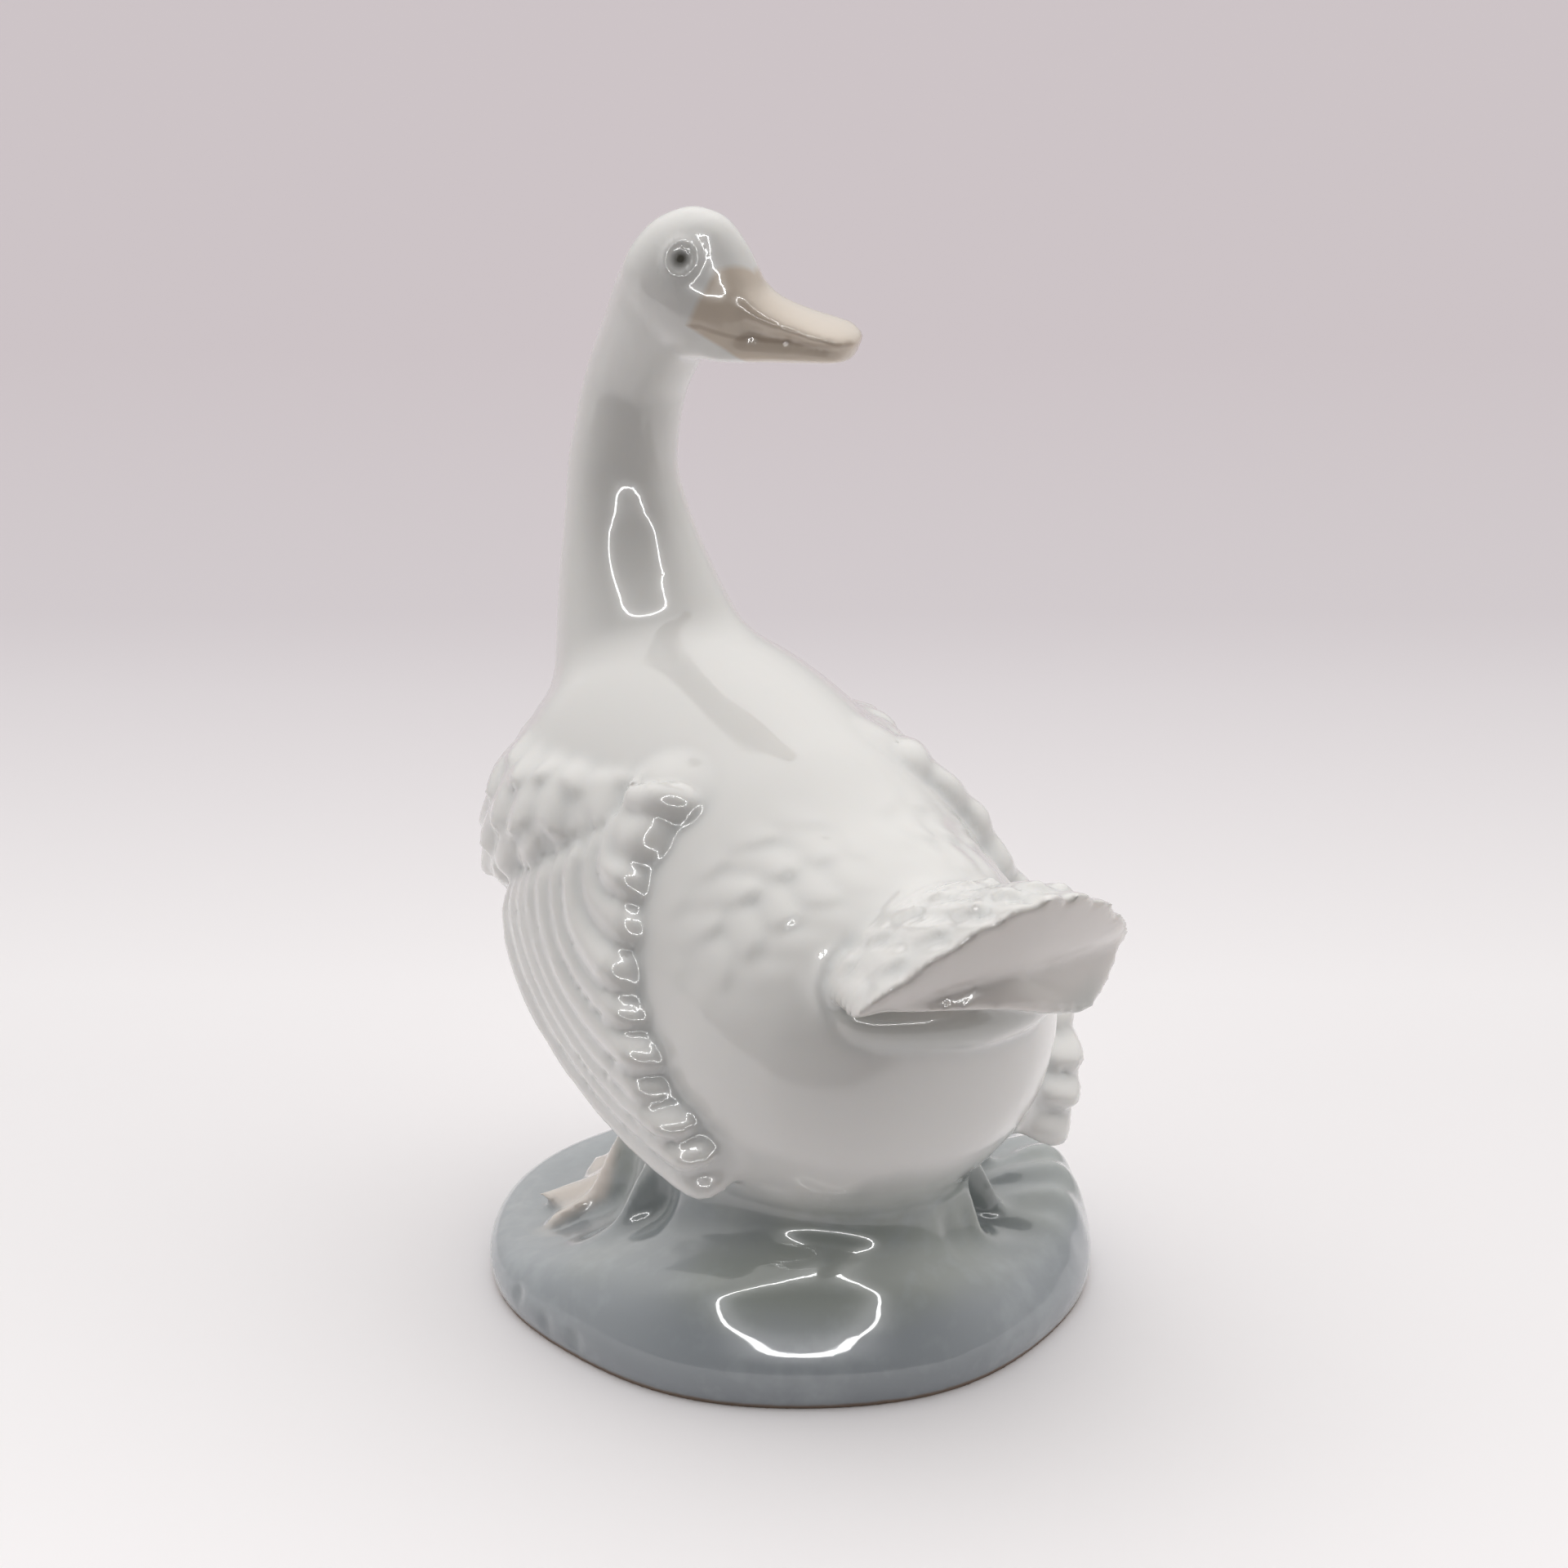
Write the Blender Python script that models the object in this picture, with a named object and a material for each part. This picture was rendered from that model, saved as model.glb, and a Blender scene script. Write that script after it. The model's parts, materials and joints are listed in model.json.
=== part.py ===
# A glazed porcelain duck, slip cast and fired as one piece: it stands on a low mound and looks back over its
# right side, its wings hanging open. Every form below is a closed skin laid over its neighbours as clay is, and
# all of them are fused into one solid. Lengths are in millimetres until a mesh is made.
# Frame: the origin is in the middle of the mound's flat underside, the breast faces -Y, the tail +Y, the
# duck's left is +X and up is +Z.

import math

import bpy
import numpy as np

MM = 0.001  # metres in a millimetre

# Driving sizes of the mound
MOUND_RADIUS = 34.7
MOUND_RIM = 4.8  # height of the rounded rim
WAIST_HEIGHT = 19.0  # where the mound has run up into the belly
WAIST_WIDTH = 37.0
WAIST_LENGTH = 49.0
WAIST_BACK = 2.0  # how far the waist sits behind the middle
SWELL = 5.0  # rise of the mound under the right wing's tip
BACK_RISE = 6.6  # rise of the mound behind the duck's left flank
FOLD_DEPTH = 1.5  # gathers in the clay round the waist
VENT_DIAMETER = 5.0  # air hole of the casting, in the underside
VENT_DEPTH = 4.0
VENT_BACK = 14.0

# Driving sizes of the body: an egg lying along Y
BODY_FRONT = -46.0
BODY_LENGTH = 83.0
BODY_WIDTH = 49.0
BACK_HEIGHT = 72.0
BELLY_HEIGHT = 13.5

# Driving sizes of the neck, the head and the bill
FIGURE_HEIGHT = 119.85
HEAD_WIDTH = 14.4
HEAD_HEIGHT = 17.6
HEAD_CENTRE = (-4.4, -29.8, FIGURE_HEIGHT - 0.42 * HEAD_HEIGHT)
HEAD_TURN = 138.0  # degrees from straight ahead, to the duck's right
NECK_FOOT = 47.0  # height at which the neck starts inside the breast
NECK = [  # (sideways, forward and back, share of the height to the head's middle, half thickness)
    (0.0, -20.0, 0.000, 19.0),
    (0.0, -26.5, 0.137, 15.8),
    (0.0, -32.0, 0.260, 12.5),
    (0.0, -35.3, 0.359, 10.4),
    (-0.1, -37.6, 0.443, 8.9),
    (-0.2, -39.2, 0.527, 7.5),
    (-0.4, -40.3, 0.611, 6.6),
    (-1.2, -40.2, 0.702, 6.2),
    (-2.0, -39.1, 0.786, 6.1),
    (-2.5, -35.9, 0.868, 6.3),
    (-3.1, -32.8, 0.943, 6.8),
    (-4.0, -30.8, 1.000, 6.2),
]
BILL_LENGTH = 14.6
BILL_WIDTH = 9.8
EYE_DIAMETER = 3.0

# Driving sizes of the wings
FEATHER_EDGES = [0, 0.07, 0.18, 0.27, 0.367, 0.471, 0.54, 0.63, 0.70, 0.78, 0.87, 1]  # shares of the rear edge
FEATHER_RISES = [0.2, 0.6, 0.6, -0.7, 0.3, 0, 0.2, 0, 0.2, 0, 0]
FEATHER_THICKNESS = 1.5
WING_LIFT = 1.2  # how far the feathers lie off the body
WING_STAND_OFF = 3.4  # how much further the lowest tips stand out from the belly
WING_SWELL = 1.3  # fullness of the leading edge below the shoulder
RIGHT_WING_SPREAD = 5.0  # how much further back the right wing's lower tips hang
RIGHT_WING_RELIEF = 0.5  # its feathers are this much shallower
SHOULDER_TOP = 63.5
ARM_THICKNESS = 2.0
COVERT_LENGTH = 4.6
COVERT_WIDTH = 4.2
COVERT_RELIEF = 1.3

# Driving sizes of the tail
TAIL_WIDTH = 34.4
TAIL_ASIDE = -0.8  # its middle lies this far to the duck's left
TAIL_REACH = 12.0  # from the body's end to the middle feather tips
TAIL_TOP = 62.4
TAIL_ROOT = 23.5  # where its wedge starts inside the body
TAIL_COCK = 8.0  # rise from the root to the tips
TAIL_BLUNT = 14.2  # greatest depth of the blunt end
TAIL_FEATHERS = 8
TAIL_RELIEF = 2.2

# Driving sizes of the feet
ANKLE = (13.6, -12.5)
TOES = [(26.5, -11.0), (24.0, -18.5), (13.5, -22.5)]
FOOT_THICKNESS = 1.3

# Seams that the slip has filled: (middle, reach), in millimetres
SOFT_SEAMS = [((0.0, -28.0, 66.0), 23.0), ((0.0, 23.0, 60.0), 14.0)]
WAIST_SEAM = (23.0, 8.0)  # (height, reach)
SLIP_ROUNDS = 90

# Fineness of the fused skin
FUSE_STEP = 0.7
TRIANGLES = 11700


def between(stations, at):
    """A smooth curve through stations of (place, value, ...), read at `at`. It never swings past a station."""
    table = np.asarray(stations, float)
    place, value = table[:, 0], table[:, 1:]
    step = np.diff(place)[:, None]
    slope = np.diff(value, axis=0) / step
    tangent = np.zeros_like(value)
    tangent[0], tangent[-1] = slope[0], slope[-1]
    same_way = slope[:-1] * slope[1:] > 0
    total = np.where(same_way, slope[:-1] + slope[1:], 1.0)
    tangent[1:-1] = np.where(same_way, 2 * slope[:-1] * slope[1:] / total, 0.0)
    at = np.asarray(at, float)
    k = np.clip(np.searchsorted(place, at, side="right") - 1, 0, len(step) - 1)
    t = ((at - place[k]) / step[k, 0])[..., None]
    h = step[k]
    start, end = value[k], value[k + 1]
    ease = t * t * (3 - 2 * t)
    return (
        start * (1 - ease)
        + end * ease
        + h * tangent[k] * t * (1 - t) ** 2
        - h * tangent[k + 1] * t * t * (1 - t)
    )


def path(points, count):
    """Points along a rounded curve through the given ones (Catmull-Rom)."""
    p = np.asarray(points, float)
    p = np.vstack([2 * p[0] - p[1], p, 2 * p[-1] - p[-2]])
    at = np.linspace(0, len(p) - 3, count)
    k = np.minimum(at.astype(int), len(p) - 4)
    t = (at - k)[:, None]
    a, b, c, d = p[k], p[k + 1], p[k + 2], p[k + 3]
    return 0.5 * (2 * b + (c - a) * t + (2 * a - 5 * b + 4 * c - d) * t**2 + (3 * b - a - 3 * c + d) * t**3)


def unit(v):
    return v / np.maximum(np.linalg.norm(v, axis=-1, keepdims=True), 1e-9)


def skin(rings):
    """Closed skin over rings of points (ring, point, xyz), with a fan to the middle of each end ring."""
    count, around = rings.shape[:2]
    points = np.vstack([rings.reshape(-1, 3), rings[0].mean(0), rings[-1].mean(0)])
    ring = np.arange(count - 1)[:, None] * around
    here = np.arange(around)[None, :]
    after = (here + 1) % around
    quads = np.stack([ring + here, ring + after, ring + around + after, ring + around + here], -1)
    faces = quads.reshape(-1, 4).tolist()
    first, last = count * around, count * around + 1
    top = (count - 1) * around
    faces += [[first, (j + 1) % around, j] for j in range(around)]
    faces += [[last, top + j, top + (j + 1) % around] for j in range(around)]
    return points, faces


def slab(top, bottom):
    """Closed skin between two sheets of points (row, column, xyz), their borders joined."""
    rows, columns = top.shape[:2]
    low = rows * columns
    index = np.arange(low).reshape(rows, columns)
    here = index[:-1, :-1].ravel()
    over = np.stack([here, here + 1, here + columns + 1, here + columns], -1)
    rim = np.concatenate([index[0, :-1], index[:-1, -1], index[-1, :0:-1], index[:0:-1, 0]])
    after = np.roll(rim, -1)
    faces = np.vstack([over, over[:, ::-1] + low, np.stack([after, rim, rim + low, after + low], -1)])
    return np.vstack([top.reshape(-1, 3), bottom.reshape(-1, 3)]), faces.tolist()


def sweep(line, normal, wide, high, deep, around=16):
    """Skin carried along a line: half width `wide`, `high` above the line along the normal and `deep` below."""
    along = unit(np.gradient(line, axis=0))
    across = unit(np.cross(along, normal))
    up = unit(np.cross(across, along))
    turn = np.linspace(0, 2 * math.pi, around, endpoint=False)
    c, s = np.cos(turn)[None, :, None], np.sin(turn)[None, :, None]
    rise = np.where(s > 0, high[:, None, None], deep[:, None, None])
    return skin(line[:, None] + across[:, None] * c * wide[:, None, None] + up[:, None] * s * rise)


def rounded_ends(count, root, tip):
    """Share of the full width along a feather or a toe: rounded over `root` at its start and `tip` at its end."""
    t = np.linspace(0, 1, count)
    start = np.sqrt(np.clip(1 - (1 - np.minimum(t / root, 1)) ** 2, 0, 1))
    end = np.sqrt(np.clip(1 - (1 - np.minimum((1 - t) / tip, 1)) ** 2, 0, 1))
    return np.maximum(start * end, 0.02)


def ellipsoid(centre, radii, axes=None, rings=14, around=20):
    """Ball stretched to three radii along three axes."""
    axes = np.eye(3) if axes is None else np.asarray(axes, float)
    lat = np.linspace(0.02, math.pi - 0.02, rings)[:, None]
    lon = np.linspace(0, 2 * math.pi, around, endpoint=False)[None, :]
    ball = np.stack([np.sin(lat) * np.cos(lon), np.sin(lat) * np.sin(lon), np.cos(lat) + 0 * lon], -1)
    return skin(np.asarray(centre, float) + (ball * radii) @ axes)


# The mound: rings from just under the cut of the underside, over the rim and up into the belly.
def mound_ring(t):
    """(half width, half length, middle, height) of the mound's rings, t from 0 under the rim to 1 in the belly."""
    r, w, l = MOUND_RADIUS, WAIST_WIDTH / 2, WAIST_LENGTH / 2
    rim, waist, back = MOUND_RIM, WAIST_HEIGHT, WAIST_BACK
    return between(
        [
            (0.00, r - 0.6, r - 0.6, 0.0, -2.0),
            (0.10, r, r, 0.0, 0.0),
            (0.22, r + 0.6, r + 0.6, 0.0, 0.5 * rim),
            (0.34, r - 0.5, r - 0.5, 0.0, rim),
            (0.44, r - 2.8, r - 2.6, 0.1 * back, rim + 1.9),
            (0.56, w + 0.5 * (r - w), l + 0.4 * (r - l), 0.5 * back, rim + 3.4),
            (0.67, w + 3.0, l + 1.8, 0.8 * back, rim + 5.6),
            (0.78, w + 0.8, l + 0.4, back, waist - 4.5),
            (0.89, w - 0.3, l, back, waist),
            (1.00, w + 2.6, l + 1.6, back, waist + 7.5),
        ],
        t,
    )


def hump(x, middle, half):
    """1 at the middle, falling smoothly to 0 at `half` from it."""
    return np.clip(1 - ((x - middle) / half) ** 2, 0, 1) ** 2


def mound_surface(t, turn):
    """Points of the mound; turn is 0 at the tail and a quarter turn at the duck's left."""
    wide, long, middle, height = (v[..., None] for v in mound_ring(t).T)
    # A hand-modelled outline: three slow waves round the rim that die out towards the waist.
    low = np.clip(1.3 - 1.3 * t, 0, 1)[:, None]
    wave = 1 + low * (0.014 * np.cos(2 * turn + 0.6) + 0.012 * np.cos(3 * turn - 1.1) + 0.007 * np.cos(7 * turn))
    away = np.abs((turn - math.radians(30) + math.pi) % (2 * math.pi) - math.pi)
    gathered = hump(t, 0.72, 0.24)[:, None] * np.clip((away - 0.7) / 0.4, 0, 1)
    wave = wave + gathered * FOLD_DEPTH / 24 * (np.cos(15 * turn + 0.5) + 0.5 * np.cos(26 * turn + 2.0))
    off = np.abs((turn + math.radians(66) + math.pi) % (2 * math.pi) - math.pi)
    swell = SWELL * hump(t, 0.46, 0.3)[:, None] * hump(off, 0, 0.75)
    swell = swell * (1 + 0.1 * np.cos(34 * turn)) + BACK_RISE * hump(t, 0.57, 0.42)[:, None] * hump(away, 0, 1.5)
    return np.stack([wide * wave * np.sin(turn), middle + long * wave * np.cos(turn), height + swell], -1)


def mound():
    return skin(mound_surface(np.linspace(0, 1, 56), np.linspace(0, 2 * math.pi, 180, endpoint=False)))


# The body: upright sections along Y, each an ellipse between its belly and its back.
def body_section(y):
    """(half width, middle height, half height) of the body at y."""
    f, n, w = BODY_FRONT, BODY_LENGTH, BODY_WIDTH / 2
    top, low = BACK_HEIGHT, BELLY_HEIGHT
    stations = [  # share of the length, half width, back, belly
        (0.000, 0.00 * w, top - 23.0, top - 23.0),
        (0.045, 0.50 * w, top - 12.0, low + 22.0),
        (0.13, 0.77 * w, top - 4.0, low + 13.0),
        (0.25, 0.94 * w, top - 0.5, low + 6.5),
        (0.41, 1.00 * w, top - 2.4, low + 2.0),
        (0.58, 0.99 * w, top - 6.4, low),
        (0.74, 0.93 * w, top - 11.4, low + 0.5),
        (0.87, 0.78 * w, top - 14.8, low + 5.5),
        (0.955, 0.52 * w, top - 20.0, low + 14.0),
        (1.000, 0.00 * w, top - 28.0, top - 28.0),
    ]
    # Squares are what is interpolated, so that both ends of the egg come out round.
    squared = [(s, h * h, (t + b) / 2, ((t - b) / 2) ** 2) for s, h, t, b in stations]
    h2, middle, v2 = between(squared, (np.asarray(y, float) - f) / n)[..., 0:3].T
    return np.sqrt(np.clip(h2, 0, None)).T, middle.T, np.sqrt(np.clip(v2, 0, None)).T


def body():
    y = BODY_FRONT + BODY_LENGTH * (1 - np.cos(np.linspace(0.03, math.pi - 0.03, 60))) / 2
    wide, middle, tall = (v[:, None] for v in body_section(y))
    turn = np.linspace(0, 2 * math.pi, 96, endpoint=False)
    return skin(np.stack([wide * np.sin(turn), y[:, None] + 0 * turn, middle + tall * np.cos(turn)], -1))


def on_side(y, z, lift, side):
    """Point over the body's side at (y, z), lifted off it along its outward normal. side is 1 left, -1 right."""

    def surface(y, z):
        wide, middle, tall = body_section(y)
        share = np.clip((z - middle) / tall, -0.98, 0.98)
        return np.stack([wide * np.sqrt(1 - share**2), y, z], -1)

    step = 0.05
    point = surface(y, z)
    normal = unit(np.cross(surface(y + step, z) - point, surface(y, z + step) - point))
    point = point + normal * lift[:, None]
    flip = np.array([side, 1, 1])
    return point * flip, normal * flip


# The wings: each is two patches laid over the body's side. The fan has the flight feathers, which end in
# rounded lobes down its rear edge, and the shoulder has the small coverts.
WING_ROOTS = [(-7, 63), (-5, 60), (-7, 57), (-11, 54), (-15.5, 51.3), (-19, 49), (-22, 46.5)]
WING_TIPS = [(3.2, 61.8), (4.0, 55), (6.4, 48), (10.2, 40.5), (15.4, 33.5), (20.4, 28), (22.4, 23.6)]


def rounded(x):
    """A quarter round: 0 at 0, rising to 1 at 1 and staying there."""
    return np.sqrt(np.clip(1 - (1 - np.clip(x, 0, 1)) ** 2, 0, 1))


def patch(y, z, lift, side):
    """Closed slab over the body's side, from 4 mm inside it up to `lift` above it."""
    flat = [v.ravel() for v in np.broadcast_arrays(y, z, lift)]
    top, _ = on_side(*flat, side)
    bottom, _ = on_side(flat[0], flat[1], np.minimum(-4.0, flat[2] - 0.5), side)
    return slab(top.reshape(lift.shape + (3,)), bottom.reshape(lift.shape + (3,)))


def wing_fan(side):
    u = np.linspace(0, 1, 150)[:, None]
    t = np.linspace(0, 1, 44)[None, :]
    spots = np.linspace(0, 1, len(WING_ROOTS))[:, None]
    root = between(np.hstack([spots, WING_ROOTS]), u[:, 0])[:, None]
    tip = between(np.hstack([spots, WING_TIPS]), u[:, 0])[:, None]
    spread = RIGHT_WING_SPREAD * rounded(1.5 * u) if side < 0 else 0 * u
    tip = tip + np.stack([spread, 0 * u], -1)
    feather = np.interp(u, FEATHER_EDGES, np.arange(len(FEATHER_EDGES)))
    ridge = rounded(1 - np.abs(2 * (feather % 1) - 1))
    relief = FEATHER_THICKNESS * (1 if side > 0 else RIGHT_WING_RELIEF)
    # Each feather falls steeply from its root and turns back at its end; its lobe reaches past the grooves.
    drop = (root - tip)[..., 1:]
    down = root + np.concatenate([0.16 * (drop + 6), -0.62 * (drop + 6)], -1)
    bend = tip + np.concatenate([-0.42 * (drop + 8), -1.5 - 2.5 * u[..., None]], -1)
    r = (t * (0.93 + 0.07 * ridge))[..., None]
    spot = root * (1 - r) ** 3 + 3 * down * r * (1 - r) ** 2 + 3 * bend * r**2 * (1 - r) + tip * r**3
    lift = WING_LIFT * (0.4 + 0.6 * u) + WING_STAND_OFF * t * u**1.5 + 0.5 * spread * t * t
    lift = lift + np.interp(feather, np.arange(len(FEATHER_RISES)) + 0.5, FEATHER_RISES) * t
    lift = lift + relief * ridge * (0.45 + 0.55 * t) + WING_SWELL * u * u * hump(t, 0.25, 0.6)
    edge = rounded((1 - t) / 0.09) * rounded(t / 0.12) * rounded(feather * 2) * rounded((1 - u) * 22)
    return patch(spot[..., 0], spot[..., 1], (lift + 0.8) * edge - 0.8, side)


def scales(row, column):
    """Height 0 to 1 of roof-tile scales with rounded ends; a row's tips lie over the next row."""
    r = np.floor(row)

    def scale(of_row):
        across = 2 * ((column + 0.5 * (of_row % 2)) % 1) - 1
        along = row - of_row
        return along, 0.25 + 0.52 * along - 0.25 * across**2, 1 + 0.5 * rounded(1 - np.abs(across))

    along, over, end = scale(r - 1)
    _, under, _ = scale(r)
    return np.where(along < end, over, under)


def shoulder(side):
    a = np.linspace(0, 1, 60)[:, None]
    b = np.linspace(0, 1, 90)[None, :]
    drop = 22.5 - 16.5 * b**1.3
    y = -37 + 29 * b + (6 - 2 * b) * a
    z = SHOULDER_TOP - drop * a
    pad = hump(a, 0.6, 0.62) * hump(b, 0.42, 0.6)
    row, column = a * drop / COVERT_LENGTH + 0.3, b * 29 / COVERT_WIDTH
    relief = scales(row + 0.28 * np.sin(1.9 * column), column + 0.25 * np.sin(1.7 * row + 1))
    lift = 0.2 + ARM_THICKNESS * pad + COVERT_RELIEF * relief * (1 - 0.6 * b) * (0.4 + 0.6 * a)
    edge = hump(a, 0.4, 0.4) * (a < 0.4) + (a >= 0.4)
    edge = edge * rounded((1 - a) / 0.05) * rounded(b / 0.1) * rounded((1 - b) / 0.06)
    return patch(y, z, (lift + 0.8) * edge - 0.8, side)


# The tail: a thick cocked wedge with a blunt arched end, deeper on the duck's right. Rows of feathers lie on top.
def tail_levels(s, out):
    """(x, y, upper level, lower level) of the tail: s runs -1 to 1 across the fan, out 0 to 1 to its end."""
    x = TAIL_WIDTH / 2 * s * (0.6 + 0.4 * out**0.8) + TAIL_ASIDE * out
    end = BODY_FRONT + BODY_LENGTH + TAIL_REACH
    y = TAIL_ROOT + (end - TAIL_ROOT) * out - 6.5 * s * s * out
    upper = TAIL_TOP - TAIL_COCK * np.clip(1 - out, 0, 1) ** 1.3 - 0.03 * (x + 2.5) ** 2
    depth = [
        (-1.0, 0.35),
        (-0.85, 0.74),
        (-0.56, 1.0),
        (-0.28, 0.97),
        (0.0, 0.86),
        (0.28, 0.72),
        (0.6, 0.5),
        (0.9, 0.2),
        (1.0, 0.12),
    ]
    tip = TAIL_TOP - 0.03 * (TAIL_WIDTH / 2 * s + TAIL_ASIDE + 2.5) ** 2
    lower = tip - TAIL_BLUNT * between(depth, s)[..., 0] - 5 * (1 - out)
    return x, y, upper, np.minimum(lower, upper - 1.5)


def tail():
    out = np.linspace(0, 1, 44)[:, None]
    turn = np.linspace(0, 2 * math.pi, 110, endpoint=False)[None, :]
    s = np.cos(turn) + 0 * out
    x, y, upper, lower = tail_levels(s, out + 0 * s)
    share = np.sign(np.sin(turn)) * np.abs(np.sin(turn)) ** 0.5
    column = (s + 1) / 2 * TAIL_FEATHERS
    over = np.clip(share, 0, 1)
    z = (upper + lower) / 2 + share * (upper - lower) / 2 + TAIL_RELIEF * over * scales(2.55 * out + 0.4, column)
    tips = rounded(1 - np.abs(2 * (column % 1) - 1)) * over
    y = y + out**6 * (1.1 * tips - 1.5 * (1 - share))
    return skin(np.stack([x, y, z], -1))


def tail_ledge():
    """The roll of small feathers under the tail's blunt end, where it meets the rump."""
    spots = np.array(
        [(12.5, 30.0, -15.5), (10.0, 33.2, -16.8), (3.0, 35.8, -17.3), (-4.0, 36.0, -17.8), (-11.0, 34.0, -17.3), (-15.0, 29.5, -14.8)]
    )
    line = path(spots + [0, 0, TAIL_TOP], 40)
    ends = rounded_ends(40, 0.6, 0.3)
    return sweep(line, np.tile([0.0, 0.8, -0.6], (40, 1)), 3.3 * ends, 2.6 * ends, 3.0 * ends)


# The neck and the head: the neck leans forward out of the breast and carries the head, which is turned back.
def head_frame():
    turn = math.radians(HEAD_TURN)
    ahead = np.array([-math.sin(turn), -math.cos(turn), 0.0])
    side = np.array([ahead[1], -ahead[0], 0.0])  # the duck's right cheek
    return ahead, side, np.array([0.0, 0.0, 1.0])


def neck():
    table = np.array(NECK)
    height = NECK_FOOT + table[:, 2] * (HEAD_CENTRE[2] - NECK_FOOT)
    line = path(np.column_stack([table[:, :2], height]), 60)
    size = between(np.column_stack([np.linspace(0, 1, len(table)), table[:, 3]]), np.linspace(0, 1, 60))[:, 0]
    normal = np.tile([0.0, -1.0, 0.0], (60, 1))
    return sweep(line, normal, size, size, size, 40)


def along_head(stations, count, around):
    """Skin over sections across the head's axis, given as (place, half width, top, bottom)."""
    ahead, side, up = head_frame()
    squared = [(s, h * h, (t + b) / 2, ((t - b) / 2) ** 2) for s, h, t, b in stations]
    first, last = stations[0][0], stations[-1][0]
    s = first + (last - first) * (1 - np.cos(np.linspace(0.04, math.pi - 0.04, count))) / 2
    h2, middle, v2 = between(squared, s).T[:, :, None]
    turn = np.linspace(0, 2 * math.pi, around, endpoint=False)
    x = np.sqrt(np.clip(h2, 0, None)) * np.sin(turn)
    z = middle + np.sqrt(np.clip(v2, 0, None)) * np.cos(turn)
    return skin(np.array(HEAD_CENTRE) + s[:, None, None] * ahead + x[..., None] * side + z[..., None] * up)


def head():
    w, t = HEAD_WIDTH / 2, HEAD_HEIGHT * 0.42
    b = t - HEAD_HEIGHT
    stations = [
        (-8.6, 0, -1.5, -1.5),
        (-7.0, 0.62 * w, 0.42 * t, 0.55 * b),
        (-3.5, 0.92 * w, 0.86 * t, 0.88 * b),
        (0.0, 1.0 * w, t, b),
        (3.0, 0.93 * w, 0.9 * t, b),
        (5.8, 0.76 * w, 0.56 * t, 0.97 * b),
        (8.8, 0.0, -4.5, -4.5),
    ]
    return along_head(stations, 30, 40)


def bill():
    n, w = BILL_LENGTH, BILL_WIDTH / 2
    upper = [
        (1.0, 0, -2.0, -2.0),
        (3.0, 0.9 * w, 3.4, -6.0),
        (6.0, 0.94 * w, 1.7, -6.2),
        (5.5 + 0.24 * n, 0.92 * w, -2.0, -6.2),
        (5.5 + 0.5 * n, 0.98 * w, -3.8, -6.3),
        (5.5 + 0.8 * n, 1.04 * w, -5.1, -6.7),
        (5.5 + 0.94 * n, 0.74 * w, -5.9, -7.3),
        (5.5 + n, 0, -6.9, -6.9),
    ]
    lower = [
        (1.0, 0, -6.6, -6.6),
        (3.0, 0.86 * w, -4.8, -10.4),
        (5.5 + 0.3 * n, 0.82 * w, -5.4, -9.9),
        (5.5 + 0.75 * n, 0.86 * w, -6.0, -9.4),
        (5.5 + 0.9 * n, 0.62 * w, -6.6, -9.1),
        (5.5 + 0.97 * n, 0, -7.8, -7.8),
    ]
    return [along_head(upper, 26, 28), along_head(lower, 22, 24)]


def eyes():
    ahead, side, up = head_frame()
    forms = []
    for cheek in (1, -1):
        spot = np.array(HEAD_CENTRE) + 0.7 * ahead + cheek * side * (0.45 * HEAD_WIDTH - 0.6) + 2.5 * up
        forms.append(ellipsoid(spot, np.array([1.15, 0.75, 1.0]) * EYE_DIAMETER / 2, [ahead, side, up], 10, 16))
    return forms


# The feet: each a web over three toes, draped on the mound from the ankle to its front rim.
def mound_height(x, y):
    """Height of the mound's upper surface over (x, y), swell and folds left out."""
    t = np.linspace(0.22, 0.89, 120)
    wide, long, middle, height = mound_ring(t).T
    inside = np.hypot(x[..., None] / wide, (y[..., None] - middle) / long) <= 1
    return np.where(inside.any(-1), height[np.argmax(inside * np.arange(1, 121), axis=-1)], height[0])


def foot(side):
    out = np.linspace(0.0, 1.0, 22)[:, None]
    turn = np.linspace(0, 2 * math.pi, 60, endpoint=False)[None, :]
    s = np.cos(turn) + 0 * out
    tips = np.array([np.interp(s[0], (-1, 0, 1), [p[i] for p in TOES]) for i in (0, 1)])
    root = np.array(ANKLE)[:, None] - 2.6 * np.stack([0.8 * s[0], 0.6 * s[0]])
    web = 0.9 + 0.1 * np.cos(2 * math.pi * s[0])
    x = root[0] + (tips[0] - root[0]) * out * web
    y = root[1] + (tips[1] - root[1]) * out * web
    level = mound_height(x, y)
    kernel = np.ones(5) / 5
    level = np.apply_along_axis(lambda v: np.convolve(np.pad(v, 2, mode="edge"), kernel, mode="valid"), 0, level)
    ridge = 0.5 * np.cos(2 * math.pi * s) * (0.4 + 0.6 * out)
    thick = FOOT_THICKNESS * (1 - 0.25 * out)
    lift = np.where(np.sin(turn) > 0, thick + ridge, -1.5)
    rim = np.minimum(1, np.abs(np.sin(turn)) * 2.2)
    forms = [skin(np.stack([x * side, y, level + rim * lift], -1))]
    leg = path([(11.0, -2, 26), (12.4, -6.5, 19), (13.0, -9.5, 13), (13.4, -11.5, 8)], 20) * [side, 1, 1]
    size = between([(0, 6.0), (0.5, 3.5), (0.8, 3.0), (1, 4.2)], np.linspace(0, 1, 20))[:, 0]
    forms.append(sweep(leg, np.tile([0.0, 1, 0], (20, 1)), size, size, size))
    return forms


def collect():
    forms = [mound(), body(), neck(), head(), tail(), tail_ledge()] + bill() + eyes()
    for side in (1, -1):
        forms += [wing_fan(side), shoulder(side)] + foot(side)
    return forms


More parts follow.
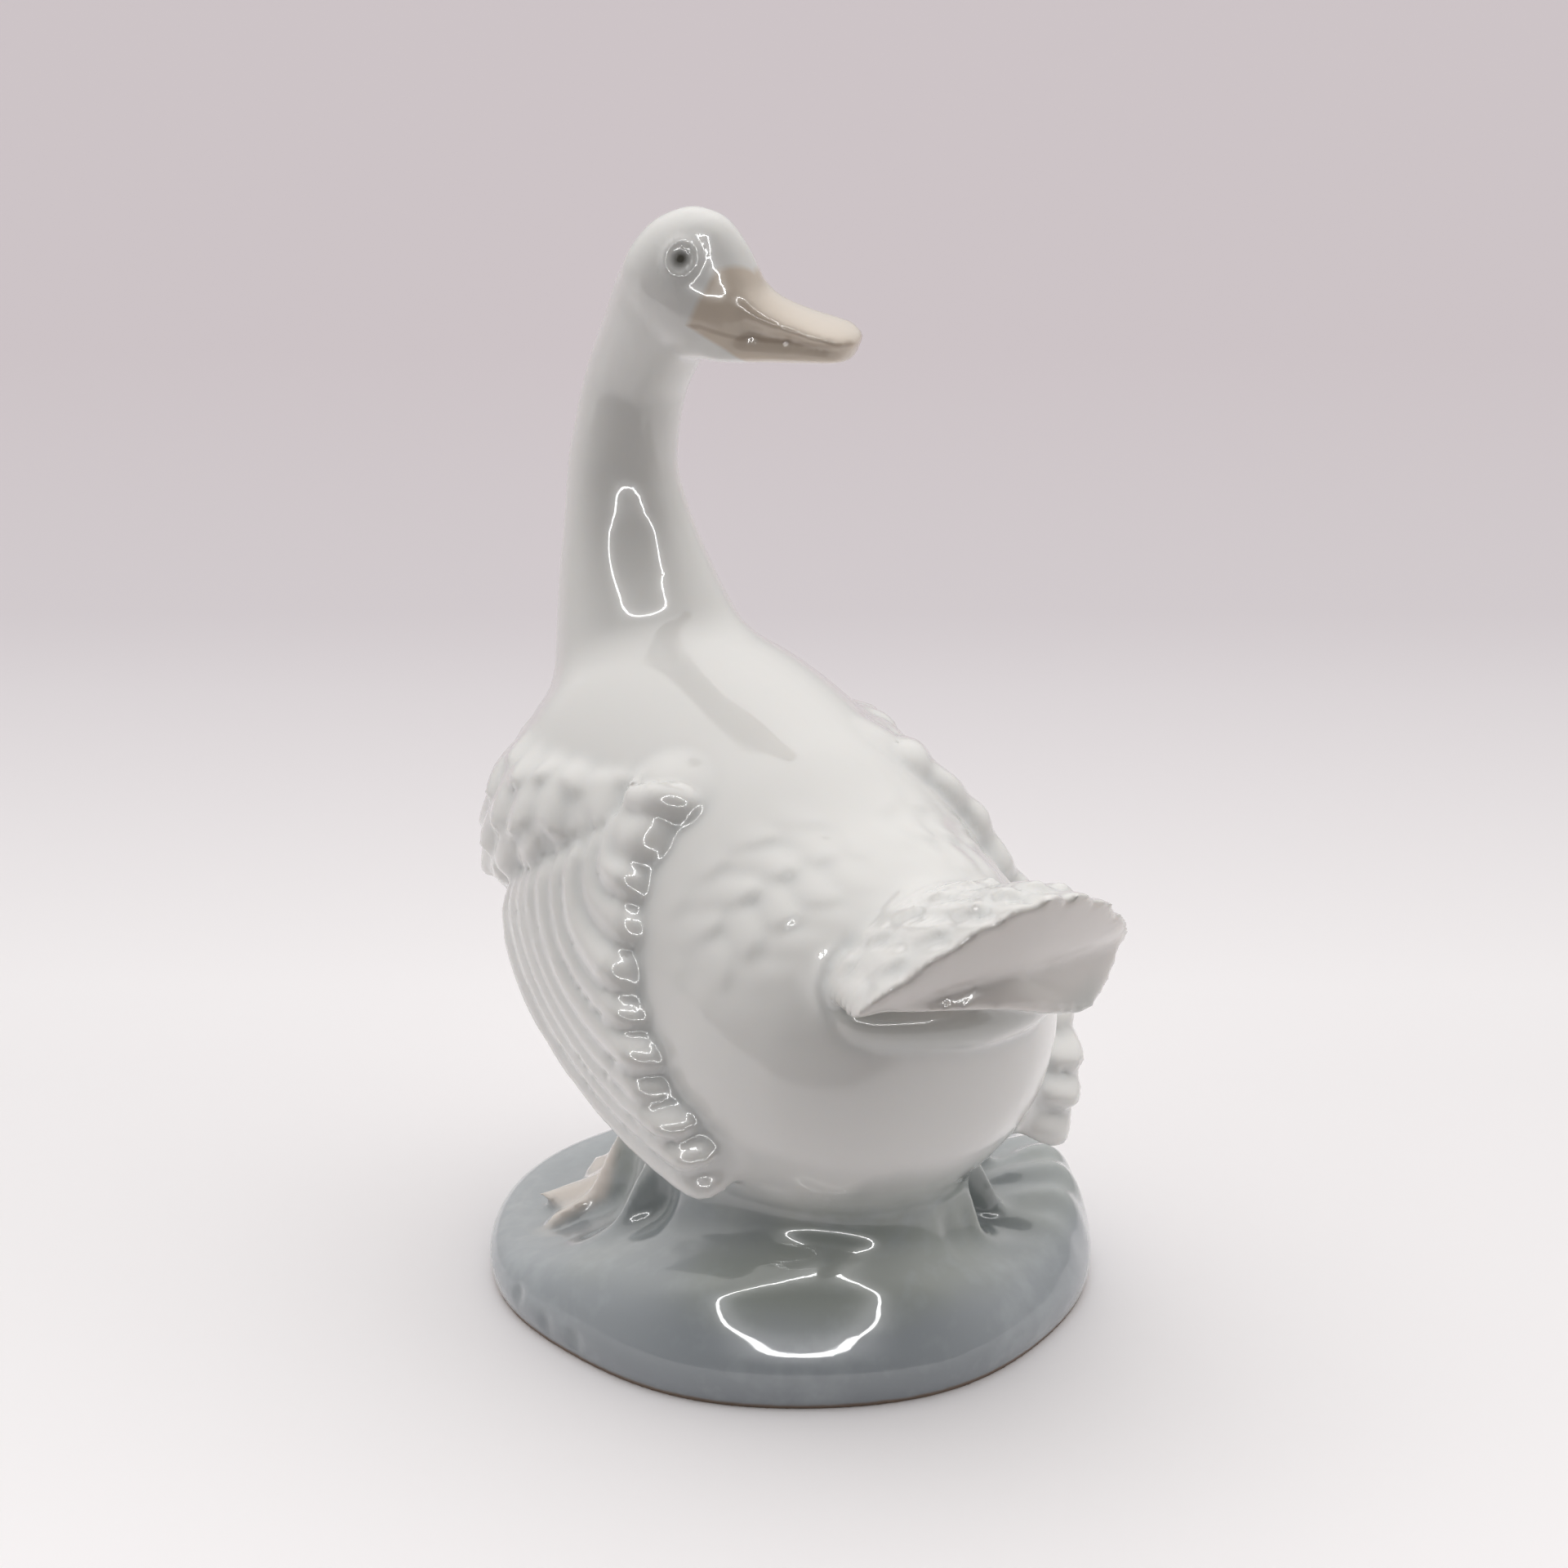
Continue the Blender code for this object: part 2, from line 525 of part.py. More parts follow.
def fused_mesh(name, forms):
    """One mesh of all the closed skins, in metres. A skin that a mirrored frame turned inside out is turned back."""
    points, faces, first = [], [], 0
    for p, f in forms:
        tri = np.array([[q[0], q[i], q[i + 1]] for q in f for i in range(1, len(q) - 1)])
        if np.linalg.det(p[tri] - p.mean(0)).sum() < 0:
            f = [q[::-1] for q in f]
        points.append(p)
        faces += [[first + i for i in q] for q in f]
        first += len(p)
    mesh = bpy.data.meshes.new(name)
    mesh.from_pydata((np.vstack(points) * MM).tolist(), [], faces)
    return mesh


def largest_shell(points, quads):
    """The outer shell alone: pockets that the overlapping forms shut in between them are filled."""
    shell = np.arange(len(points))
    while True:
        low = shell[quads].min(axis=1)
        after = shell.copy()
        np.minimum.at(after, quads, low[:, None])
        after = after[after]
        if np.array_equal(after, shell):
            break
        shell = after
    names, sizes = np.unique(shell, return_counts=True)
    keep = shell == names[np.argmax(sizes)]
    number = np.cumsum(keep) - 1
    return points[keep], number[quads[keep[quads[:, 0]]]]


def fill_seams(points, quads):
    """Slip gathers in the inner corners of the seams: hollow places there rise towards their neighbours."""
    x, y, z = points.T
    round_waist = np.hypot(x / (WAIST_WIDTH / 2), (y - WAIST_BACK) / (WAIST_LENGTH / 2))
    soft = hump(z, *WAIST_SEAM) * np.clip((1.4 - round_waist) / 0.2, 0, 1)
    for middle, reach in SOFT_SEAMS:
        soft = np.maximum(soft, hump(np.linalg.norm(points - middle, axis=1), 0, reach))
    edge = np.vstack([quads[:, [0, 1]], quads[:, [1, 2]], quads[:, [2, 3]], quads[:, [3, 0]]])
    count = np.bincount(edge[:, 0], minlength=len(points))[:, None]
    for _ in range(SLIP_ROUNDS):
        across = np.cross(points[quads[:, 2]] - points[quads[:, 0]], points[quads[:, 3]] - points[quads[:, 1]])
        normal = np.stack([sum(np.bincount(quads[:, k], across[:, i], len(points)) for k in range(4)) for i in range(3)], -1)
        mean = np.stack([np.bincount(edge[:, 0], points[edge[:, 1], i], len(points)) for i in range(3)], -1) / count
        pull = mean - points
        hollow = np.einsum("ij,ij->i", pull, unit(normal)) > 0
        points = points + pull * (soft * np.where(hollow, 0.6, 0.12))[:, None]
    return points


def underside():
    """What is cut away below: everything under the flat underside, and the casting's air hole."""
    r = VENT_DIAMETER / 2
    turn = np.linspace(0, 2 * math.pi, 32, endpoint=False)
    far = 2.5 * MOUND_RADIUS
    profile = [(far, -0.3 * MOUND_RADIUS), (far, 0.0), (r, 0.0), (r, VENT_DEPTH)]
    rings = [np.stack([q * np.cos(turn), VENT_BACK + q * np.sin(turn), z + 0 * turn], -1) for q, z in profile]
    return skin(np.array(rings))


def new_object(name, mesh):
    obj = bpy.data.objects.new(name, mesh)
    bpy.context.scene.collection.objects.link(obj)
    return obj


def main():
    for obj in list(bpy.data.objects):
        bpy.data.objects.remove(obj, do_unlink=True)
    clay = new_object("clay", fused_mesh("clay", collect()))
    fuse = clay.modifiers.new("Fuse", "REMESH")
    fuse.mode = "VOXEL"
    fuse.voxel_size = FUSE_STEP * MM
    sponge = clay.modifiers.new("Sponge", "SMOOTH")
    sponge.factor = 0.5
    sponge.iterations = 4
    fused = bpy.data.meshes.new_from_object(clay.evaluated_get(bpy.context.evaluated_depsgraph_get()))
    bpy.data.objects.remove(clay, do_unlink=True)
    co = np.empty(3 * len(fused.vertices))
    fused.vertices.foreach_get("co", co)
    quads = np.array([list(p.vertices) for p in fused.polygons])
    points, quads = largest_shell(co.reshape(-1, 3) / MM, quads)
    points = fill_seams(points, quads)
    skin_mesh = bpy.data.meshes.new("duck_figurine")
    skin_mesh.from_pydata((points * MM).tolist(), [], quads.tolist())
    duck = new_object("duck_figurine", skin_mesh)
    knife = new_object("cut_underside", fused_mesh("cut_underside", [underside()]))
    knife.hide_render = True
    thin = duck.modifiers.new("Thin", "DECIMATE")
    thin.ratio = TRIANGLES / (2 * len(skin_mesh.polygons))
    cut = duck.modifiers.new("Underside", "BOOLEAN")
    cut.operation = "DIFFERENCE"
    cut.solver = "EXACT"
    cut.object = knife


main()
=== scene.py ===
"""A glazed porcelain duck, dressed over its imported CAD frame.

The duck stands on a low mound and looks back over its right side, with its wings hanging open and its tail
cocked. It was slip cast, so mound, feet, body, wings, tail, neck and head are laid over each other here as
clay forms, fused into one skin, softened as glaze softens them, and painted.
Clay forms are in millimetres, in the frame of the CAD: the breast faces -Y, the duck's left is +X, up is +Z.
"""

import json
import math

import bpy
import numpy as np
from mathutils import Matrix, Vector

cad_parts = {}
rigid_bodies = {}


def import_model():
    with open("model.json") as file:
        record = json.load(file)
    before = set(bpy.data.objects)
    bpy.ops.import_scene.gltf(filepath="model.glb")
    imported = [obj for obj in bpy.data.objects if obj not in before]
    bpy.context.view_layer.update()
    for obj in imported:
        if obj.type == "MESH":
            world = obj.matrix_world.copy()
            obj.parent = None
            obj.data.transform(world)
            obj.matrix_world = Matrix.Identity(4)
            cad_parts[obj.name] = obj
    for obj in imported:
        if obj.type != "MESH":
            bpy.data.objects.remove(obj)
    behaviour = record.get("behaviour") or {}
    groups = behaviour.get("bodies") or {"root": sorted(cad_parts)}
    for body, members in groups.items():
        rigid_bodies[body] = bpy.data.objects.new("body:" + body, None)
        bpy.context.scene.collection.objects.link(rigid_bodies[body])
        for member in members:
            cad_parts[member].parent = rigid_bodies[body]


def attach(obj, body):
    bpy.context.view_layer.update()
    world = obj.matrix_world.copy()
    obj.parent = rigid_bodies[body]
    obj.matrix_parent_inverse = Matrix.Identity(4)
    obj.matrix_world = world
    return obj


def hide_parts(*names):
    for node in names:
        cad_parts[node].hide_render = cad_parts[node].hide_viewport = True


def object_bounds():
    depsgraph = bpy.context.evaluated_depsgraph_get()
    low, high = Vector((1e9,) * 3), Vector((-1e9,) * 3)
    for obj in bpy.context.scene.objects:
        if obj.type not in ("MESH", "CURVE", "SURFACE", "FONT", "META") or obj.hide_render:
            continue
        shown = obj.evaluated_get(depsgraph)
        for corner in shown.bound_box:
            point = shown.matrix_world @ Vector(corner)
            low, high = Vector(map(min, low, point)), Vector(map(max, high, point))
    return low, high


for startup_object in list(bpy.data.objects):
    bpy.data.objects.remove(startup_object, do_unlink=True)
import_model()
cad_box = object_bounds()


# The body: a fat egg lying along Y, its back sloping down to the tail and its belly resting on the mound.
# It is the main casting, and everything else is laid over it.
BODY_FRONT = -46.0
BODY_LENGTH = 83.0
BODY_WIDTH = 49.0
BACK_HEIGHT = 72.0
BELLY_HEIGHT = 13.5
clay = []  # (points, triangles) of each closed form


def between(stations, at):
    """Smooth curve through rows of (place, value, ...): cubic pieces whose slopes are harmonic means, so that
    it never overshoots."""
    table = np.asarray(stations, float)
    place, value = table[:, 0], table[:, 1:]
    step = np.diff(place)[:, None]
    slope = np.diff(value, axis=0) / step
    tangent = np.zeros_like(value)
    tangent[0], tangent[-1] = slope[0], slope[-1]
    same_way = slope[:-1] * slope[1:] > 0
    total = np.where(same_way, slope[:-1] + slope[1:], 1.0)
    tangent[1:-1] = np.where(same_way, 2 * slope[:-1] * slope[1:] / total, 0.0)
    at = np.asarray(at, float)
    k = np.clip(np.searchsorted(place, at, side="right") - 1, 0, len(step) - 1)
    t = ((at - place[k]) / step[k, 0])[..., None]
    ease = t * t * (3 - 2 * t)
    bend = step[k] * (tangent[k] * t * (1 - t) ** 2 - tangent[k + 1] * t * t * (1 - t))
    return value[k] * (1 - ease) + value[k + 1] * ease + bend


def grid_faces(rows, columns, closed):
    """Triangles of a grid of points, row by row; a closed grid joins its last column to its first."""
    row = np.arange(rows - 1)[:, None] * columns
    here = np.arange(columns if closed else columns - 1)[None, :]
    after = (here + 1) % columns
    a, b, c, d = (v.ravel() for v in (row + here, row + after, row + columns + after, row + columns + here))
    return np.vstack([np.stack([a, b, c], -1), np.stack([a, c, d], -1)])


def closed_skin(rings):
    """Skin over rings of points (ring, point, xyz), shut with a fan to the middle of each end ring."""
    count, around = rings.shape[:2]
    points = np.vstack([rings.reshape(-1, 3), rings[0].mean(0), rings[-1].mean(0)])
    here = np.arange(around)
    after = np.roll(here, -1)
    top = (count - 1) * around
    first = np.stack([np.full(around, count * around), after, here], -1)
    last = np.stack([np.full(around, count * around + 1), top + here, top + after], -1)
    return points, np.vstack([grid_faces(count, around, True), first, last])


def body_section(y):
    """(half width, middle height, half height) of the body at y. The squares of the half sizes are what is
    interpolated, which brings both ends of the egg out round."""
    w, top, low = BODY_WIDTH / 2, BACK_HEIGHT, BELLY_HEIGHT
    stations = [  # share of the length, half width, back, belly
        (0.000, 0.00 * w, top - 23.0, top - 23.0),
        (0.045, 0.50 * w, top - 12.0, low + 22.0),
        (0.13, 0.77 * w, top - 4.0, low + 13.0),
        (0.25, 0.94 * w, top - 0.5, low + 6.5),
        (0.41, 1.00 * w, top - 2.4, low + 2.0),
        (0.58, 0.99 * w, top - 6.4, low),
        (0.74, 0.93 * w, top - 11.4, low + 0.5),
        (0.87, 0.78 * w, top - 14.8, low + 5.5),
        (0.955, 0.52 * w, top - 20.0, low + 14.0),
        (1.000, 0.00 * w, top - 28.0, top - 28.0),
    ]
    squared = [(s, h * h, (t + b) / 2, ((t - b) / 2) ** 2) for s, h, t, b in stations]
    values = between(squared, (np.asarray(y, float) - BODY_FRONT) / BODY_LENGTH)
    half_width, half_height = (np.sqrt(np.clip(values[..., i], 0, None)) for i in (0, 2))
    return half_width, values[..., 1], half_height


def body_form():
    """Upright ellipses along Y, closer together towards both ends."""
    y = BODY_FRONT + BODY_LENGTH * (1 - np.cos(np.linspace(0.03, math.pi - 0.03, 110))) / 2
    wide, middle, tall = (v[:, None] for v in body_section(y))
    turn = np.linspace(0, 2 * math.pi, 180, endpoint=False)
    x, z = wide * np.sin(turn), middle + tall * np.cos(turn)
    return closed_skin(np.stack([x, y[:, None] + 0 * turn, z], -1))


clay.append(body_form())


# The mound: a pillow of clay that runs up into the belly. It is gathered into folds round the waist, swells
# under the tip of the right wing, rises at the back and lies lower under the feet. Its foot is wiped clean of
# glaze, and the casting's air hole is in its underside.
MOUND_RADIUS = 34.7
MOUND_RIM = 4.8
WAIST_HEIGHT = 19.0
WAIST_WIDTH = 37.0
WAIST_LENGTH = 49.0
WAIST_BACK = 2.0
SWELL = 5.0
BACK_RISE = 6.6
FOLD_DEPTH = 2.2
FOOT_HOLLOW = 3.4
VENT_DIAMETER = 5.0
VENT_DEPTH = 4.0
VENT_BACK = 14.0


def hump(x, middle, half):
    """1 at the middle, falling as (1 - d^2)^2 to 0 at `half` from it."""
    return np.clip(1 - ((x - middle) / half) ** 2, 0, 1) ** 2


def angle_from(turn, middle):
    """How far an angle is from another, in radians, the short way round."""
    return np.abs((turn - middle + math.pi) % (2 * math.pi) - math.pi)


def mound_ring(t):
    """(half width, half length, middle, height) of the mound's rings, t from 0 under the rim to 1 in the
    belly."""
    r, w, l = MOUND_RADIUS, WAIST_WIDTH / 2, WAIST_LENGTH / 2
    rim, waist, back = MOUND_RIM, WAIST_HEIGHT, WAIST_BACK
    return between(
        [
            (0.00, r - 0.6, r - 0.6, 0.0, -2.0),
            (0.10, r, r, 0.0, 0.0),
            (0.22, r + 0.6, r + 0.6, 0.0, 0.5 * rim),
            (0.34, r - 0.5, r - 0.5, 0.0, rim),
            (0.44, r - 2.8, r - 2.6, 0.1 * back, rim + 1.9),
            (0.56, w + 0.5 * (r - w), l + 0.4 * (r - l), 0.5 * back, rim + 3.4),
            (0.67, w + 3.0, l + 1.8, 0.8 * back, rim + 5.6),
            (0.78, w + 0.8, l + 0.4, back, waist - 4.5),
            (0.89, w - 0.3, l, back, waist),
            (1.00, w + 2.6, l + 1.6, back, waist + 7.5),
        ],
        t,
    )


def mound_form():
    """Ovals stacked from the rim up. Slow waves of cosines go round the rim, quicker ones fold the waist, and
    humps lift the swell and the back and lower the places of the feet."""
    t = np.linspace(0, 1, 120)
    turn = np.linspace(0, 2 * math.pi, 420, endpoint=False)
    wide, long, middle, height = (v[..., None] for v in mound_ring(t).T)
    low = np.clip(1.3 - 1.3 * t, 0, 1)[:, None]
    slow = 0.014 * np.cos(2 * turn + 0.6) + 0.012 * np.cos(3 * turn - 1.1) + 0.007 * np.cos(7 * turn)
    wave = 1 + low * slow
    away = angle_from(turn, math.radians(30))
    bare = np.clip((away - 0.7) / 0.4, 0, 1)
    gathered = hump(t, 0.72, 0.24)[:, None] * bare
    fine = 0.35 * np.abs(np.cos(14.5 * turn + 3 * t[:, None]))
    folds = np.cos(15 * turn + 0.5) + 0.5 * np.cos(26 * turn + 2.0) - fine
    wave = wave + gathered * FOLD_DEPTH / 24 * folds
    swell = SWELL * hump(t, 0.46, 0.3)[:, None] * hump(angle_from(turn, math.radians(-66)), 0, 0.75)
    swell = swell * (1 + 0.09 * np.cos(36 * turn + 2.5 * t[:, None]))
    swell = swell + BACK_RISE * hump(t, 0.57, 0.42)[:, None] * hump(away, 0, 1.5)
    under_foot = hump(angle_from(np.minimum(turn, 2 * math.pi - turn), math.radians(145)), 0, 1.2)
    swell = swell - FOOT_HOLLOW * hump(t, 0.62, 0.38)[:, None] * under_foot
    return closed_skin(
        np.stack([wide * wave * np.sin(turn), middle + long * wave * np.cos(turn), height + swell], -1)
    )


clay.append(mound_form())


# The neck and the head: the neck grows out of the breast, leans forward and carries the head, which is turned
# back past the shoulder. The bill is two mandibles that close on a thin line.
FIGURE_HEIGHT = 119.85
HEAD_WIDTH = 14.4
HEAD_HEIGHT = 17.6
HEAD_CENTRE = np.array([-4.4, -29.8, FIGURE_HEIGHT - 0.42 * HEAD_HEIGHT])
HEAD_TURN = math.radians(138.0)
NECK_FOOT = 47.0
NECK = [  # (sideways, forward and back, share of the height to the head's middle, half thickness)
    (0.0, -20.0, 0.000, 19.0),
    (0.0, -26.5, 0.137, 15.8),
    (0.0, -32.0, 0.260, 12.5),
    (0.0, -35.3, 0.359, 10.4),
    (-0.1, -37.6, 0.443, 8.9),
    (-0.2, -39.2, 0.527, 7.5),
    (-0.4, -40.3, 0.611, 6.6),
    (-1.2, -40.2, 0.702, 6.2),
    (-2.0, -39.1, 0.786, 6.1),
    (-2.5, -35.9, 0.868, 6.3),
    (-3.1, -32.8, 0.943, 6.8),
    (-4.0, -30.8, 1.000, 6.2),
]
BILL_LENGTH = 14.6
BILL_WIDTH = 9.8
AHEAD = np.array([-math.sin(HEAD_TURN), -math.cos(HEAD_TURN), 0.0])
CHEEK = np.array([AHEAD[1], -AHEAD[0], 0.0])  # towards the duck's right cheek
UP = np.array([0.0, 0.0, 1.0])


def unit(v):
    return v / np.maximum(np.linalg.norm(v, axis=-1, keepdims=True), 1e-9)


def rounded_path(points, count):
    """Points along a Catmull-Rom curve through the given ones."""
    p = np.asarray(points, float)
    p = np.vstack([2 * p[0] - p[1], p, 2 * p[-1] - p[-2]])
    at = np.linspace(0, len(p) - 3, count)
    k = np.minimum(at.astype(int), len(p) - 4)
    t = (at - k)[:, None]
    a, b, c, d = p[k], p[k + 1], p[k + 2], p[k + 3]
    return 0.5 * (2 * b + (c - a) * t + (2 * a - 5 * b + 4 * c - d) * t**2 + (3 * b - a - 3 * c + d) * t**3)


def carried(line, normal, wide, high, deep, around):
    """Oval carried along a line: half width `wide`, `high` above it along the normal and `deep` below it."""
    along = unit(np.gradient(line, axis=0))
    across = unit(np.cross(along, normal))
    up = unit(np.cross(across, along))
    turn = np.linspace(0, 2 * math.pi, around, endpoint=False)
    c, s = np.cos(turn)[None, :, None], np.sin(turn)[None, :, None]
    rise = np.where(s > 0, high[:, None, None], deep[:, None, None])
    return closed_skin(line[:, None] + across[:, None] * c * wide[:, None, None] + up[:, None] * s * rise)


def neck_form():
    table = np.array(NECK)
    height = NECK_FOOT + table[:, 2] * (HEAD_CENTRE[2] - NECK_FOOT)
    line = rounded_path(np.column_stack([table[:, :2], height]), 130)
    spots = np.linspace(0, 1, len(table))
    size = between(np.column_stack([spots, table[:, 3]]), np.linspace(0, 1, 130))[:, 0]
    return carried(line, np.tile([0.0, -1.0, 0.0], (130, 1)), size, size, size, 90)


def head_skin(stations, count, around):
    """Skin over ovals across the head's axis, given as (place, half width, top, bottom) from the head's
    middle."""
    squared = [(s, h * h, (t + b) / 2, ((t - b) / 2) ** 2) for s, h, t, b in stations]
    first, last = stations[0][0], stations[-1][0]
    s = first + (last - first) * (1 - np.cos(np.linspace(0.04, math.pi - 0.04, count))) / 2
    h2, middle, v2 = between(squared, s).T[:, :, None]
    turn = np.linspace(0, 2 * math.pi, around, endpoint=False)
    x = np.sqrt(np.clip(h2, 0, None)) * np.sin(turn)
    z = middle + np.sqrt(np.clip(v2, 0, None)) * np.cos(turn)
    return closed_skin(HEAD_CENTRE + s[:, None, None] * AHEAD + x[..., None] * CHEEK + z[..., None] * UP)


def head_form():
    w, t = HEAD_WIDTH / 2, HEAD_HEIGHT * 0.42
    b = t - HEAD_HEIGHT
    stations = [
        (-8.6, 0, -1.5, -1.5),
        (-7.0, 0.62 * w, 0.42 * t, 0.55 * b),
        (-3.5, 0.92 * w, 0.86 * t, 0.88 * b),
        (0.0, 1.0 * w, t, b),
        (3.0, 0.93 * w, 0.9 * t, b),
        (5.8, 0.76 * w, 0.56 * t, 0.95 * b),
        (8.8, 0.0, -4.5, -4.5),
    ]
    return head_skin(stations, 60, 90)


def bill_forms():
    """Upper mandible, its edge overhanging the narrower lower one along the mouth."""
    n, w = BILL_LENGTH, BILL_WIDTH / 2
    upper = [
        (1.0, 0, -2.0, -2.0),
        (3.0, 0.9 * w, 3.4, -6.0),
        (6.0, 0.94 * w, 1.7, -6.2),
        (5.5 + 0.24 * n, 0.92 * w, -2.0, -6.2),
        (5.5 + 0.5 * n, 0.98 * w, -3.8, -6.3),
        (5.5 + 0.8 * n, 1.04 * w, -5.1, -6.7),
        (5.5 + 0.94 * n, 0.74 * w, -5.9, -7.3),
        (5.5 + n, 0, -6.9, -6.9),
    ]
    lower = [
        (1.0, 0, -6.6, -6.6),
        (3.0, 0.86 * w, -4.8, -10.4),
        (5.5 + 0.3 * n, 0.82 * w, -5.4, -9.9),
        (5.5 + 0.75 * n, 0.86 * w, -6.0, -9.4),
        (5.5 + 0.9 * n, 0.62 * w, -6.6, -9.1),
        (5.5 + 0.97 * n, 0, -7.8, -7.8),
    ]
    return [head_skin(upper, 60, 70), head_skin(lower, 50, 60)]


clay.append(neck_form())
clay.append(head_form())
clay += bill_forms()


# The wings: each is modelled over the body's side as a fan of flight feathers, which end in rounded lobes
# down its rear edge, and a shoulder of small scaled coverts that covers the feathers' roots.
FEATHER_EDGES = [0, 0.07, 0.18, 0.27, 0.367, 0.471, 0.54, 0.63, 0.70, 0.78, 0.87, 1]
FEATHER_RISES = [0.2, 0.6, 0.6, -0.7, 0.3, 0, 0.2, 0, 0.2, 0, 0]
FEATHER_THICKNESS = 1.7
FEATHER_ROUND = 4.2  # length over which a feather's end rounds off
WING_LIFT = 1.2
WING_STAND_OFF = 3.4
WING_SWELL = 1.3
RIGHT_WING_SPREAD = 5.0
RIGHT_WING_RELIEF = 0.5
SHOULDER_TOP = 63.5
WING_ROOTS = [(-7, 63), (-5, 60), (-7, 57), (-11, 54), (-15.5, 51.3), (-19, 49), (-22, 46.5)]
WING_TIPS = [(3.2, 61.8), (4.0, 55), (6.4, 48), (10.2, 40.5), (15.4, 33.5), (20.4, 28), (22.4, 23.6)]
ARM_THICKNESS = 2.0
COVERT_LENGTH = 5.0
COVERT_WIDTH = 4.8
COVERT_RELIEF = 2.8


def rounded(x):
    """A quarter round: 0 at 0, rising to 1 at 1 and staying there."""
    return np.sqrt(np.clip(1 - (1 - np.clip(x, 0, 1)) ** 2, 0, 1))


def over_side(y, z, lift, side):
    """Points over the body's side at (y, z), lifted off it along its outward normal. Side is 1 for the left
    and -1 for the right."""

    def surface(y, z):
        wide, middle, tall = body_section(y)
        share = np.clip((z - middle) / tall, -0.98, 0.98)
        return np.stack([wide * np.sqrt(1 - share**2), y, z], -1)

    point = surface(y, z)
    normal = unit(np.cross(surface(y + 0.05, z) - point, surface(y, z + 0.05) - point))
    return (point + normal * lift[..., None]) * [side, 1, 1]


def side_patch(y, z, lift, side):
    """Closed slab over the body's side, from 4 mm inside it up to `lift` above it: two sheets and a rim."""
    y, z, lift = np.broadcast_arrays(y, z, lift)
    top = over_side(y, z, lift, side)
    bottom = over_side(y, z, np.minimum(-4.0, lift - 0.5), side)
    rows, columns = lift.shape
    low = rows * columns
    index = np.arange(low).reshape(rows, columns)
    over = grid_faces(rows, columns, False)
    rim = np.concatenate([index[0, :-1], index[:-1, -1], index[-1, :0:-1], index[:0:-1, 0]])
    after = np.roll(rim, -1)
    wall = np.vstack([np.stack([after, rim, rim + low], -1), np.stack([after, rim + low, after + low], -1)])
    faces = np.vstack([over, over[:, ::-1] + low, wall])
    return np.vstack([top.reshape(-1, 3), bottom.reshape(-1, 3)]), faces


def wing_fan(side):
    """Feathers as cubic curves from root to tip, u across the fan and t along a feather. A feather is a half
    round across, and its lobe reaches past the grooves beside it, some a little further than others."""
    u = np.linspace(0, 1, 320)[:, None]
    t = np.linspace(0, 1, 120)[None, :]
    spots = np.linspace(0, 1, len(WING_ROOTS))[:, None]
    root = between(np.hstack([spots, WING_ROOTS]), u[:, 0])[:, None]
    tip = between(np.hstack([spots, WING_TIPS]), u[:, 0])[:, None]
    spread = RIGHT_WING_SPREAD * rounded(1.5 * u) if side < 0 else 0 * u
    tip = tip + np.stack([spread, 0 * u], -1)
    feather = np.interp(u, FEATHER_EDGES, np.arange(len(FEATHER_EDGES)))
    ridge = 0.4 * rounded(1 - np.abs(2 * (feather % 1) - 1)) + 0.6 * np.sin(math.pi * (feather % 1)) ** 0.8
    relief = FEATHER_THICKNESS * (1 if side > 0 else RIGHT_WING_RELIEF)
    drop = (root - tip)[..., 1:]
    down = root + np.concatenate([0.16 * (drop + 6), -0.62 * (drop + 6)], -1)
    bend = tip + np.concatenate([-0.36 * (drop + 8), 1.2 - 1.2 * u[..., None]], -1)
    uneven = 0.025 * np.sin(2.3 * np.floor(feather) + 1.0)
    r = (t * (0.91 + (0.07 + uneven) * ridge))[..., None]
    spot = root * (1 - r) ** 3 + 3 * down * r * (1 - r) ** 2 + 3 * bend * r**2 * (1 - r) + tip * r**3
    lift = WING_LIFT * (0.4 + 0.6 * u) + WING_STAND_OFF * t * u**1.5 + 0.5 * spread * t * t
    lift = lift + np.interp(feather, np.arange(len(FEATHER_RISES)) + 0.5, FEATHER_RISES) * t
    lift = lift + relief * ridge * (0.45 + 0.55 * t) + WING_SWELL * u * u * hump(t, 0.25, 0.6)
    length = np.linalg.norm(tip - root, axis=-1)
    edge = rounded((1 - t) * length / FEATHER_ROUND) * rounded(t / 0.12)
    edge = edge * rounded(feather * 2) * rounded((1 - u) * 22)
    return side_patch(spot[..., 0], spot[..., 1], (lift + 0.8) * edge - 0.8, side)


def scales(row, column):
    """Height 0 to 1 of roof-tile scales with rounded ends; a row's tips lie over the next row."""
    r = np.floor(row)

    def scale(of_row):
        across = 2 * ((column + 0.5 * (of_row % 2)) % 1) - 1
        along = row - of_row
        return along, 0.2 + 0.5 * along - 0.4 * across**2, 1 + 0.5 * rounded(1 - np.abs(across))

    along, over, end = scale(r - 1)
    _, under, _ = scale(r)
    return np.where(along < end, over, under)


